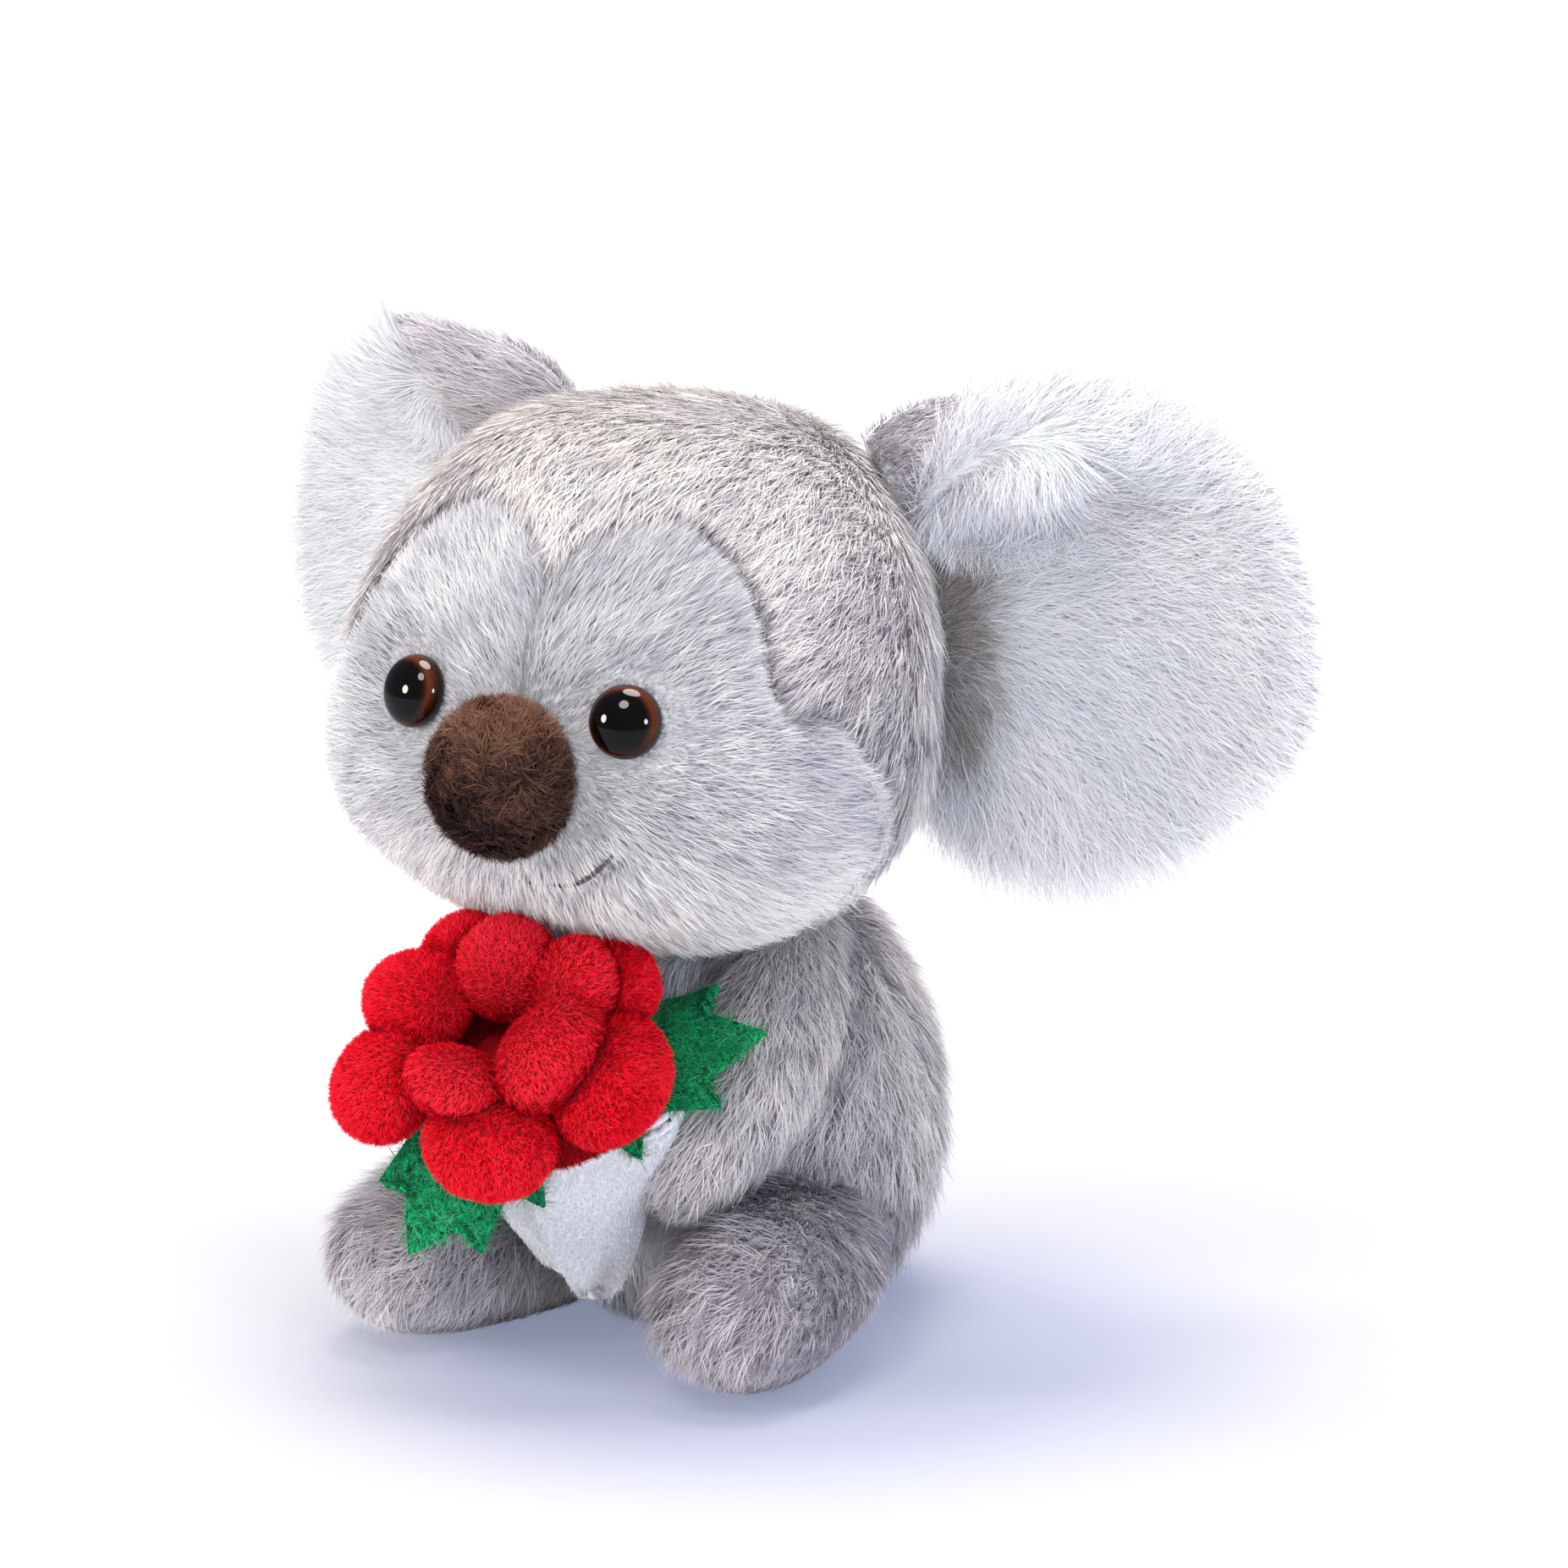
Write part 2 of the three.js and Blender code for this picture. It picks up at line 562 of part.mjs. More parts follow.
const upperLeafAcrossShare = 1.88
const upperLeafRiseShare = 0.48
const leaves = {
  leaf_upper: {
    root: flowerPoint(FLOWER_RADIUS / 3, FELT, -LEAF_DROP),
    tip: flowerPoint(FLOWER_RADIUS * upperLeafAcrossShare, FLOWER_RADIUS * upperLeafRiseShare, -LEAF_DROP),
    facing: new THREE.Vector3(0, 0, 1).transformDirection(flowerFrame),
  },
  leaf_lower: {
    root: new THREE.Vector3(FLOWER_X + LEAF_SHIFT, FLOWER_Y - LEAF_FORWARD, FLOWER_Z - LEAF_DROP + FELT),
    tip: new THREE.Vector3(FLOWER_X + LEAF_SHIFT - LEAF_ASIDE, FLOWER_Y - LEAF_FORWARD - LEAF_LEAN,
      FLOWER_Z - LEAF_DROP - LEAF_HANG),
    facing: new THREE.Vector3(0.11, -0.983, 0.144),
  },
}

function petalFrame(i) {
  const turn = THREE.MathUtils.degToRad(petalTurns[i])
  const reach = FLOWER_RADIUS * petalReachShares[i]
  return flowerFrame.clone()
    .multiply(new THREE.Matrix4().makeTranslation(
      reach * Math.cos(turn), reach * Math.sin(turn), FLOWER_RADIUS * petalHeightShares[i]))
    .multiply(new THREE.Matrix4().makeRotationZ(turn - Math.PI / 2))
    .multiply(new THREE.Matrix4().makeRotationX(-THREE.MathUtils.degToRad(petalTilts[i])))
}

function petalSolid(i, grow) {
  const [wide, long, thick] = [petalWideShares, petalLongShares, petalThickShares]
    .map((shares) => FLOWER_RADIUS * shares[i] + grow)
  return solidOf(ballMesh(petalFrame(i), wide, long, thick, PETAL_ROWS, PETAL_COLUMNS))
}

function petalName(i) {
  return i < OUTER_PETALS ? `outer_petal_${i + 1}` : `inner_petal_${i + 1 - OUTER_PETALS}`
}

function buildBouquet() {
  const wrapper = wrapperSolids()
  const flapCutter = solidOf(flapMesh(SEAT_GAP))
  const baseCutter = solidOf(baseMesh(-SEAT_GAP))
  keep('wrapper', wrapper.cloth.subtract(solidOf(formMesh(bodyForm, -SEAT_GAP))), colours.wrapperPlush)
  keep('wrapper_flap', solidOf(flapMesh(0)), colours.wrapperPlush)
  keep('flower_base', solidOf(baseMesh(0)), colours.redPlush)
  const disc = (radius, thickness) => {
    const rod = rodMesh(radius, -BASE_TOP + SEAT_GAP, -BASE_TOP + SEAT_GAP + thickness)
    return solidOf(rod, flowerFrame)
  }
  keep('flower_label', disc(LABEL_RADIUS, LABEL_THICKNESS), colours.redFabric, 'fabric')
  const labelCutter = disc(LABEL_RADIUS + SEAT_GAP, FLOWER_RADIUS)
  const cutters = [wrapper.grown, baseCutter, flapCutter, labelCutter, ...sweptHead]
  const around = [wrapper.grown, flapCutter]
  for (const [name, leaf] of Object.entries(leaves)) {
    const felt = without(solidOf(leafMesh(leaf, 0)), wrapper.grown, flapCutter, baseCutter)
    keep(name, felt, colours.greenFelt, 'felt')
    const pressed = solidOf(leafMesh(leaf, SEAT_GAP))
    cutters.push(pressed)
    around.push(pressed)
  }
  // The inner petals press into the outer ones.
  const order = petalTurns.map((_, i) => (i + OUTER_PETALS) % petalTurns.length)
  for (const i of order) {
    keep(petalName(i), without(petalSolid(i, 0), ...cutters), colours.redPlush)
    const pressed = petalSolid(i, SEAT_GAP)
    cutters.push(pressed)
    around.push(pressed)
  }
  return around
}

function buildArms(bouquet) {
  const body = solidOf(formMesh(bodyForm, -SEAT_GAP))
  for (const [side, mirror] of [['left', 1], ['right', -1]]) {
    const spine = armSpine.x.map((x, i) => new THREE.Vector3(mirror * x, armSpine.y[i], armSpine.z[i]))
    const arm = (inset) => solidOf(limbMesh(spine, SHOULDER_RADIUS, PAW_RADIUS, inset))
    const leg = solidOf(limbMesh(legSpine(mirror), LEG_RADIUS, FOOT_RADIUS, -SEAT_GAP))
    const cutters = [body, leg, ...bouquet, ...sweptHead]
    const outer = without(arm(0), ...cutters)
    keep(`arm_${side}`, outer.subtract(arm(PLUSH_WALL)), colours.greyPlush)
    const stuffing = without(arm(PLUSH_WALL + SEAT_GAP), ...cutters)
    keep(`arm_${side}_stuffing`, stuffing, colours.filling, 'filling')
  }
}

function eyePlace(mirror, out) {
  return headPlace.clone().multiply(surfaceFrame(headForm, EYE_LEVEL_SHARE, mirror * EYE_ANGLE, out))
}

// A domed eye with its stem in one moulding, standing along its own Z.
function eyeMesh() {
  const outline = [
    new THREE.Vector2(0, -STEM_LENGTH), new THREE.Vector2(STEM_RADIUS, -STEM_LENGTH),
    new THREE.Vector2(STEM_RADIUS, 0), new THREE.Vector2(EYE_RADIUS, 0),
  ]
  const steps = 6
  for (let i = 0; i <= steps; i++) {
    const angle = (Math.PI / 2) * (i / steps)
    const reach = i === steps ? 0 : EYE_RADIUS * Math.cos(angle)
    outline.push(new THREE.Vector2(reach, EYE_RIM + (EYE_DOME - EYE_RIM) * Math.sin(angle)))
  }
  return bareShape(new THREE.LatheGeometry(outline, 16).rotateX(Math.PI / 2))
}

function tubeMesh(inner, outer, low, high, sides) {
  const outline = [
    new THREE.Vector2(inner, low), new THREE.Vector2(outer, low), new THREE.Vector2(outer, high),
    new THREE.Vector2(inner, high), new THREE.Vector2(inner, low),
  ]
  return bareShape(new THREE.LatheGeometry(outline, sides).rotateX(Math.PI / 2))
}

function rodMesh(radius, low, high) {
  const rod = new THREE.CylinderGeometry(radius, radius, high - low, 14)
  return bareShape(rod.rotateX(Math.PI / 2).translate(0, 0, (low + high) / 2))
}

function mouthMesh() {
  const stitches = 8
  const sides = 6
  const points = Array.from({ length: stitches + 1 }, (_, i) => {
    const across = (2 * i) / stitches - 1
    const level = MOUTH_LOW_SHARE + MOUTH_RISE_SHARE * across ** 2
    return formPoint(headForm, level, MOUTH_HALF_ANGLE * across, -THREAD_RADIUS - SEAT_GAP - THREAD_RADIUS)
  })
  const round = new THREE.Shape(turnAngles(sides).map((angle) =>
    new THREE.Vector2(THREAD_RADIUS * Math.cos(angle), THREAD_RADIUS * Math.sin(angle))))
  const path = new THREE.CatmullRomCurve3(points)
  return bareShape(new THREE.ExtrudeGeometry(round, { steps: 18, bevelEnabled: false, extrudePath: path }))
}

function buildHead() {
  const outer = solidOf(formMesh(headForm, 0), headPlace)
  const shell = without(outer, solidOf(formMesh(headForm, PLUSH_WALL), headPlace), belowNeck)
  const lows = faceAngles.map(() => FACE_LOW_SHARE)
  const wedge = (mirror, spread, shift) =>
    solidOf(panelWedge(headForm, faceAngles, lows, faceTopShares, { mirror, spread, shift }), headPlace)
  const crown = without(shell, wedge(1, SEAT_GAP, -SEAT_GAP), wedge(-1, SEAT_GAP, -SEAT_GAP))
  keep('head_crown_and_back', crown, colours.greyPlush)
  const stemHoles = [1, -1].map((mirror) =>
    solidOf(rodMesh(STEM_RADIUS + SEAT_GAP, -STEM_LENGTH - SEAT_GAP, STEM_LENGTH), eyePlace(mirror, 0)))
  const washerBack = -WASHER_DEPTH - WASHER_THICKNESS
  const washerPockets = [1, -1].map((mirror) =>
    solidOf(rodMesh(WASHER_RADIUS + SEAT_GAP, washerBack - SEAT_GAP, 0), eyePlace(mirror, 0)))
  for (const [side, mirror] of [['left', 1], ['right', -1]]) {
    const face = without(shell.intersect(wedge(mirror, 0, HALF_GAP)), ...stemHoles)
    keep(`face_panel_${side}`, face, colours.palePlush)
    keep(`eye_${side}`, solidOf(eyeMesh(), eyePlace(mirror, SEAT_GAP)), colours.eyePlastic, 'gloss')
    const washer = tubeMesh(STEM_RADIUS + HALF_GAP, WASHER_RADIUS, washerBack, -WASHER_DEPTH, 18)
    keep(`eye_washer_${side}`, solidOf(washer, eyePlace(mirror, 0)), colours.washerPlastic, 'gloss')
  }
  const belowFilling = solidOf(blockBetween(
    new THREE.Vector3(-FAR, -FAR, -FAR), new THREE.Vector3(FAR, FAR, NECK_HEIGHT + HALF_GAP + SEAT_GAP)))
  const filling = solidOf(formMesh(headForm, PLUSH_WALL + SEAT_GAP), headPlace)
  const cutFilling = without(filling, belowFilling, ...stemHoles, ...washerPockets)
  keep('head_stuffing', cutFilling, colours.filling, 'filling')
  const noseFrame = headPlace.clone().multiply(surfaceFrame(headForm, NOSE_LEVEL_SHARE, 0, NOSE_STAND_OFF))
  const nose = solidOf(ballMesh(noseFrame, NOSE_HALF_WIDTH, NOSE_HALF_HEIGHT, NOSE_HALF_DEPTH, 9, 16))
  keep('nose', nose.subtract(solidOf(formMesh(headForm, -SEAT_GAP), headPlace)), colours.nosePlush)
  keep('mouth_stitch', solidOf(mouthMesh(), headPlace), colours.thread, 'thread')
}

// The ear's own frame: x outwards from the head, y up and z the way its white side faces.
function earFrame() {
  const out = new THREE.Vector3(Math.cos(EAR_SWEEP_BACK), Math.sin(EAR_SWEEP_BACK), 0)
  const facing = out.clone().cross(up)
  return new THREE.Matrix4().makeBasis(out, up, facing)
    .setPosition(EAR_CENTRE_X, EAR_CENTRE_Y, EAR_CENTRE_Z)
}

// A dish whose rim bends towards the front, most of all at its upper corner near the head.
function earPoint(u, v, mirror, face) {
  const rim = Math.max(Math.abs(u), Math.abs(v))
  const sides = earOutShares.length
  const angle = rim === 0 ? 0 : Math.atan2(v, u)
  const place = (((angle / (2 * Math.PI)) * sides) + sides) % sides
  const first = Math.floor(place) % sides
  const mix = place - Math.floor(place)
  const pick = (shares) => shares[first] + (shares[(first + 1) % sides] - shares[first]) * mix
  const across = EAR_SPAN * rim * pick(earOutShares)
  const rise = EAR_SPAN * rim * pick(earUpShares)
  const outShare = across / EAR_SPAN
  const upShare = rise / EAR_SPAN
  const outerShare = smooth(outShare, -0.85, 0.2)
  const cornerShare = smooth(upShare, 0.1, 0.8) * (1 - smooth(outShare, -0.4, 0.5))
  const bend = (EAR_CUP * outerShare + EAR_LIP * cornerShare) * rim ** 2
  const half = EAR_RIM_THICKNESS + EAR_PAD * (1 - rim ** 2)
  const point = new THREE.Vector3(across, rise, bend + face * half).applyMatrix4(earFrame())
  point.x *= mirror
  return point.applyMatrix4(headPlace)
}

function earMesh(mirror, front, back) {
  const steps = 8
  const grid = (face, offset) => Array.from({ length: steps + 1 }, (_, i) =>
    Array.from({ length: steps + 1 }, (_, j) => {
      const point = earPoint((2 * i) / steps - 1, (2 * j) / steps - 1, mirror, face)
      return point.add(offset)
    }))
  const normal = new THREE.Vector3(0, 0, 1).transformDirection(earFrame())
  normal.x *= mirror
  const nudge = (distance) => normal.clone().multiplyScalar(distance)
  return slabMesh(grid(front.face, nudge(front.shift)), grid(back.face, nudge(back.shift)))
}

function earHinge(mirror) {
  const along = (rise) => {
    const point = new THREE.Vector3(-EAR_ROOT_REACH, rise, 0).applyMatrix4(earFrame())
    point.x *= mirror
    return point.applyMatrix4(headPlace)
  }
  const low = along(-EAR_SPAN)
  return { point: along(0), axis: along(EAR_SPAN).sub(low).normalize() }
}

function buildEars() {
  const foldShares = [-1, -0.5, 0, 0.5, 1]
  for (const [side, mirror] of [['left', 1], ['right', -1]]) {
    const hinge = earHinge(mirror)
    const headPoses = foldShares.map((share) => solidOf(formMesh(headForm, -EAR_SWEEP_GAP),
      turnedAbout(hinge.point, hinge.axis, share * EAR_FOLD_RANGE).multiply(headPlace)))
    const front = solidOf(earMesh(mirror, { face: 1, shift: 0 }, { face: 0, shift: HALF_GAP }))
    const back = solidOf(earMesh(mirror, { face: 0, shift: -HALF_GAP }, { face: -1, shift: 0 }))
    keep(`ear_${side}_front`, without(front, ...headPoses), colours.whitePlush)
    keep(`ear_${side}_back`, without(back, ...headPoses), colours.greyPlush)
  }
}

buildBody()
buildLegs()
const bouquetCutters = buildBouquet()
buildArms(bouquetCutters)
buildHead()
buildEars()

const finishes = {
  plush: { roughness: 0.95, metalness: 0 },
  filling: { roughness: 1, metalness: 0 },
  felt: { roughness: 0.9, metalness: 0 },
  fabric: { roughness: 0.6, metalness: 0 },
  thread: { roughness: 0.8, metalness: 0 },
  gloss: { roughness: 0.08, metalness: 0 },
}

const group = new THREE.Group()
for (const piece of pieces) {
  const material = new THREE.MeshStandardMaterial({ color: piece.colour, ...finishes[piece.finish] })
  const mesh = new THREE.Mesh(geometryOf(piece.solid), material)
  mesh.name = piece.name
  group.add(mesh)
}

const bounds = new THREE.Box3().setFromObject(group)
const middle = bounds.getCenter(new THREE.Vector3())
for (const mesh of group.children) mesh.geometry.translate(-middle.x, -middle.y, -bounds.min.z)

export default group
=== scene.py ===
"""A sitting plush koala with a rose bouquet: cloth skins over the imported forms, and pile on every skin.

Lengths are written in millimetres in the making frame, where the body stands on X = 0 and Y = 0.
new_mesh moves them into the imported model's frame and turns them into metres.
"""
import itertools
import json
import math

import bpy
import mathutils
import numpy as np
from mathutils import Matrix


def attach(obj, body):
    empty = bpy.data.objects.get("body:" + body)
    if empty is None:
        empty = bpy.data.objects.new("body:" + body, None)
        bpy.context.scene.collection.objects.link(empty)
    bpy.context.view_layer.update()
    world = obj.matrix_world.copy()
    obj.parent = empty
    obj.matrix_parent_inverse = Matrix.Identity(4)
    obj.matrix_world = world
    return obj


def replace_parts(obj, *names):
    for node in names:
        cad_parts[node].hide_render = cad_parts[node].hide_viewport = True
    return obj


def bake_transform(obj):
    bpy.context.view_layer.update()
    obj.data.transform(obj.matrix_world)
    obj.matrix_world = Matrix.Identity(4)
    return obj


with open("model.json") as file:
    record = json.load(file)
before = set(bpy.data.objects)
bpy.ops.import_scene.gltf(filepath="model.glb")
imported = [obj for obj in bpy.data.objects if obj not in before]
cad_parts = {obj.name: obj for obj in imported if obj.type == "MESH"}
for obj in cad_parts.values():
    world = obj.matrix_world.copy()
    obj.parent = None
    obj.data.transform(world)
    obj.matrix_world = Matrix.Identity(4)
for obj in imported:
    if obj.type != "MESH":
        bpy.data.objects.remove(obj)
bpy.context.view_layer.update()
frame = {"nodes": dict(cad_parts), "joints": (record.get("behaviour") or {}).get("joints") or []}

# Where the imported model's origin lies in the making frame: under the middle of the whole toy.
SHIFT = np.array([0.0823, -21.4048, 0.0])
METRES = 0.001
SIDES = (("left", 1), ("right", -1))
UP = np.array([0.0, 0.0, 1.0])
FUR_UV = "OFBake"
EYE_UV = "EyeMap"
# How many tones a fibre can have, and how many fibres one piece holds.
TONES = 64
BLADES_PER_PIECE = 64000
# How deep in the cloth a fibre starts, and how far off the floor pile stays.
ROOT_DEPTH = 0.25
OFF_FLOOR = 0.05
# Distances are measured for this many points at a time, which bounds the memory they take.
POINTS_AT_ONCE = 20000
# Points closer than this, in millimetres, are one point.
WELD = 0.001
BUMP_METRES = 0.0003

# Factors that mix a cell's whole numbers into one that looks random.
CELL_FACTORS = (73856093, 19349663, 83492791)
SEED_FACTOR = 2654435761
MIX_FACTORS = (np.uint64(2246822519), np.uint64(3266489917))
LOW_BITS = 0xFFFFFFFF


# Arithmetic on points and vectors.

def unit(v):
    """Each vector divided by its length."""
    return v / np.maximum(np.linalg.norm(v, axis=-1, keepdims=True), 1e-9)


def dot(a, b):
    return (a * b).sum(-1, keepdims=True)


def across(v, normals):
    """The part of each vector that lies in the surface."""
    return v - dot(v, normals) * normals


def step(value, low, high):
    """0 below low, 1 above high and a smooth S between them."""
    t = np.clip((value - low) / (high - low), 0, 1)
    return t * t * (3 - 2 * t)


def curve_through(x, xs, ys):
    """A smooth curve through a table's points that doesn't overshoot between them."""
    xs = np.asarray(xs, float)
    ys = np.asarray(ys, float)
    slope = np.diff(ys) / np.diff(xs)
    tangent = np.concatenate([slope[:1], (slope[1:] + slope[:-1]) / 2, slope[-1:]])
    turning = np.concatenate([[False], slope[1:] * slope[:-1] <= 0, [False]])
    tangent[turning] = 0
    x = np.clip(x, xs[0], xs[-1])
    i = np.clip(np.searchsorted(xs, x, side="right") - 1, 0, len(xs) - 2)
    width = xs[i + 1] - xs[i]
    t = (x - xs[i]) / width
    return (ys[i] * (2 * t**3 - 3 * t**2 + 1) + ys[i + 1] * (3 * t**2 - 2 * t**3)
            + tangent[i] * width * (t**3 - 2 * t**2 + t) + tangent[i + 1] * width * (t**3 - t**2))


def hashed(cells, seed, count):
    """count repeatable numbers between 0 and 1 for each whole-number cell."""
    c = cells.astype(np.int64).astype(np.uint64)
    h = np.uint64((seed * SEED_FACTOR) & LOW_BITS)
    for k, factor in enumerate(CELL_FACTORS):
        h = h ^ (c[:, k] * np.uint64(factor))
    out = []
    for _ in range(count):
        h = (h ^ (h >> np.uint64(15))) * MIX_FACTORS[0] & np.uint64(LOW_BITS)
        h = (h ^ (h >> np.uint64(13))) * MIX_FACTORS[1] & np.uint64(LOW_BITS)
        h ^= h >> np.uint64(16)
        out.append(h.astype(float) / LOW_BITS)
    return np.stack(out, axis=1)


def clumps(points, size, seed):
    """The vector to the nearest of many scattered centres, about size apart, and its own numbers."""
    cell = np.floor(points / size)
    best = np.full(len(points), np.inf)
    offset = np.zeros_like(points)
    numbers = np.zeros_like(points)
    for beside in itertools.product((-1, 0, 1), repeat=3):
        near = cell + beside
        r = hashed(near, seed, 6)
        v = (near + r[:, :3]) * size - points
        d = (v * v).sum(1)
        closer = d < best
        best[closer] = d[closer]
        offset[closer] = v[closer]
        numbers[closer] = r[closer, 3:]
    return offset, numbers


def noise(points, size, seed):
    """Smooth noise between 0 and 1 whose patches are about size across."""
    p = points / size
    base = np.floor(p)
    t = p - base
    t = t * t * (3 - 2 * t)
    total = 0
    for corner in itertools.product((0, 1), repeat=3):
        w = np.where(corner, t, 1 - t)
        total = total + w[:, 0] * w[:, 1] * w[:, 2] * hashed(base + corner, seed, 1)[:, 0]
    return total


def swirls(points, size, seeds):
    """A vector of three noises at each point, from -0.5 to 0.5 each way."""
    return np.stack([noise(points, size, seed) for seed in seeds], 1) - 0.5


def nearest_on(points, line):
    """How far each point is from the nearest point of a line, and which one that is."""
    distance = np.empty(len(points))
    nearest = np.empty(len(points), int)
    for first in range(0, len(points), POINTS_AT_ONCE):
        chunk = slice(first, first + POINTS_AT_ONCE)
        d = ((points[chunk, None] - line[None]) ** 2).sum(-1)
        nearest[chunk] = d.argmin(1)
        distance[chunk] = np.sqrt(d.min(1))
    return distance, nearest


def distance_to(points, line):
    return nearest_on(points, line)[0]


def fading(distance, reach):
    """1 at no distance or less, falling off with distance."""
    return np.exp(-np.maximum(0, distance) / reach)


def hump(distance, reach):
    """1 at no distance, falling off to both sides as a bell."""
    return np.exp(-(distance / reach) ** 2)


def to_side(p, mirror):
    """Points of the left side as they are, or mirrored to the right side."""
    return p * np.array([mirror, 1, 1])


def ring_angles(count):
    return np.linspace(0, 2 * np.pi, count, endpoint=False)


# The stuffed forms, as in the part's source.

HEAD_CENTRE = np.array([0.0, -24.5, 94.3])
HEAD = dict(
    centre=HEAD_CENTRE, high=35.7, wide=40.7, front=32.5, back=36.5, lean=3.5, bow=4.5, roundness=0.29,
    levels=[-1, -0.86, -0.65, -0.45, -0.2, 0, 0.25, 0.5, 0.75, 0.9, 1],
    fronts=[0.8, 0.9, 0.985, 1, 0.98, 0.955, 0.92, 0.86, 0.84, 0.88, 0.9],
    backs=[0.8, 0.86, 0.94, 0.98, 1, 1, 1, 0.98, 0.95, 0.93, 0.9],
    widths=[0.86, 0.93, 1, 1.03, 1.02, 1, 0.985, 0.96, 0.93, 0.92, 0.92],
    plumps=[1, 0.84, 0.76, 0.76, 0.82, 0.86, 0.9, 0.95, 1, 1, 1],
)
BODY = dict(
    centre=(0, 0, 29.7), high=30.2, wide=27.5, front=26, back=27.3, lean=0, bow=0, roundness=0.24,
    levels=[-1, 0, 0.3, 0.6, 1], fronts=[1, 1, 1.05, 1.13, 1.3], backs=[1, 1, 0.95, 0.87, 0.68],
    widths=[1, 1, 0.98, 0.94, 0.9], plumps=[1, 1, 1, 1, 1],
)
HEAD_ROLL = math.radians(1.2)
NECK_Z = 58.5
SKIN = 1.2
FACE_SIDE = math.radians(98)
FACE_ANGLES = [0, 7, 18, 29, 40, 47, 50, 52, 70, 76, 84, 90, 94, 98]
FACE_TOPS = [0.53, 0.62, 0.69, 0.7, 0.63, 0.5, 0.36, 0.2, 0.03, -0.06, -0.18, -0.34, -0.5, -0.7]


def signed_power(v, power):
    return np.sign(v) * np.abs(v) ** power


def form_shape(form, level, front):
    """A form's half depth, half width, fullness and sway at each level, before its ends round off."""
    fronts, backs, widths, plumps = [curve_through(level, form["levels"], form[key])
                                     for key in ("fronts", "backs", "widths", "plumps")]
    depth = np.where(front, form["front"] * fronts, form["back"] * backs)
    width = form["wide"] * widths
    power = np.where(front, plumps, 1.0)
    return depth, width, power, form["lean"] * level + form["bow"] * level**2


def form_point(form, level, angle, out=0.0):
    """A stuffed form: at each level a ring of half width and half depth, whose size falls off towards
    both ends as a low power of one minus the level squared; out stands off the surface."""
    level, angle = np.broadcast_arrays(np.asarray(level, float), np.asarray(angle, float))
    front = np.cos(angle) >= 0
    depth, width, power, sway = form_shape(form, level, front)
    ring = np.maximum(0, 1 - level**2) ** form["roundness"]
    x = form["centre"][0] + (width + out) * ring * signed_power(np.sin(angle), power)
    y = form["centre"][1] + sway - (depth + out) * ring * signed_power(np.cos(angle), power)
    z = form["centre"][2] + (form["high"] + out) * level
    return np.stack([x, y, z], axis=-1)


def form_ratio(form, points, out=0.0):
    """Below 1 inside the form, above 1 outside it: how far out a point is in its own level's ring."""
    p = points - np.array(form["centre"])
    level = p[..., 2] / (form["high"] + out)
    inside = np.abs(level) < 1
    level = np.clip(level, -0.999, 0.999)
    ring = (1 - level**2) ** form["roundness"]
    sway = form["lean"] * level + form["bow"] * level**2
    y = -(p[..., 1] - sway)
    depth, width, power, _ = form_shape(form, level, y >= 0)
    a = np.abs(p[..., 0] / ((width + out) * ring)) ** (2 / power)
    b = np.abs(y / ((depth + out) * ring)) ** (2 / power)
    return np.where(inside, (a + b) ** (power / 2), 9.0)


def rolled(points, angle):
    """Points turned sideways by an angle about the middle of the head."""
    c = math.cos(angle)
    s = math.sin(angle)
    p = points - HEAD_CENTRE
    turned = np.stack([c * p[..., 0] + s * p[..., 2], p[..., 1], c * p[..., 2] - s * p[..., 0]], axis=-1)
    return turned + HEAD_CENTRE


def place_head(points):
    """The head's slight lean to its own left."""
    return rolled(points, HEAD_ROLL)


def head_ratio(points, out=0.0):
    return form_ratio(HEAD, rolled(points, -HEAD_ROLL), out)


def pole_levels(count, low=-1.0, high=1.0):
    """Levels from low to high, closer together towards a pole, where the form turns in."""
    t = np.linspace(0, 1, count)
    s = np.where(t < 0.5, 0.5 * (2 * t) ** 1.5, 1 - 0.5 * (2 - 2 * t) ** 1.5)
    full = -np.cos(np.pi * s)
    return low + (high - low) * (full + 1) / 2


def form_grid(form, rows, columns, out=0.0):
    """The whole closed form as rings from pole to pole."""
    angle = np.linspace(-np.pi, np.pi, columns, endpoint=False)
    return form_point(form, pole_levels(rows)[:, None], angle[None, :], out)


# Surfaces as grids of points.

def cells(f):
    """The four corners of each cell of a grid of values."""
    return f[:-1, :-1], f[:-1, 1:], f[1:, 1:], f[1:, :-1]


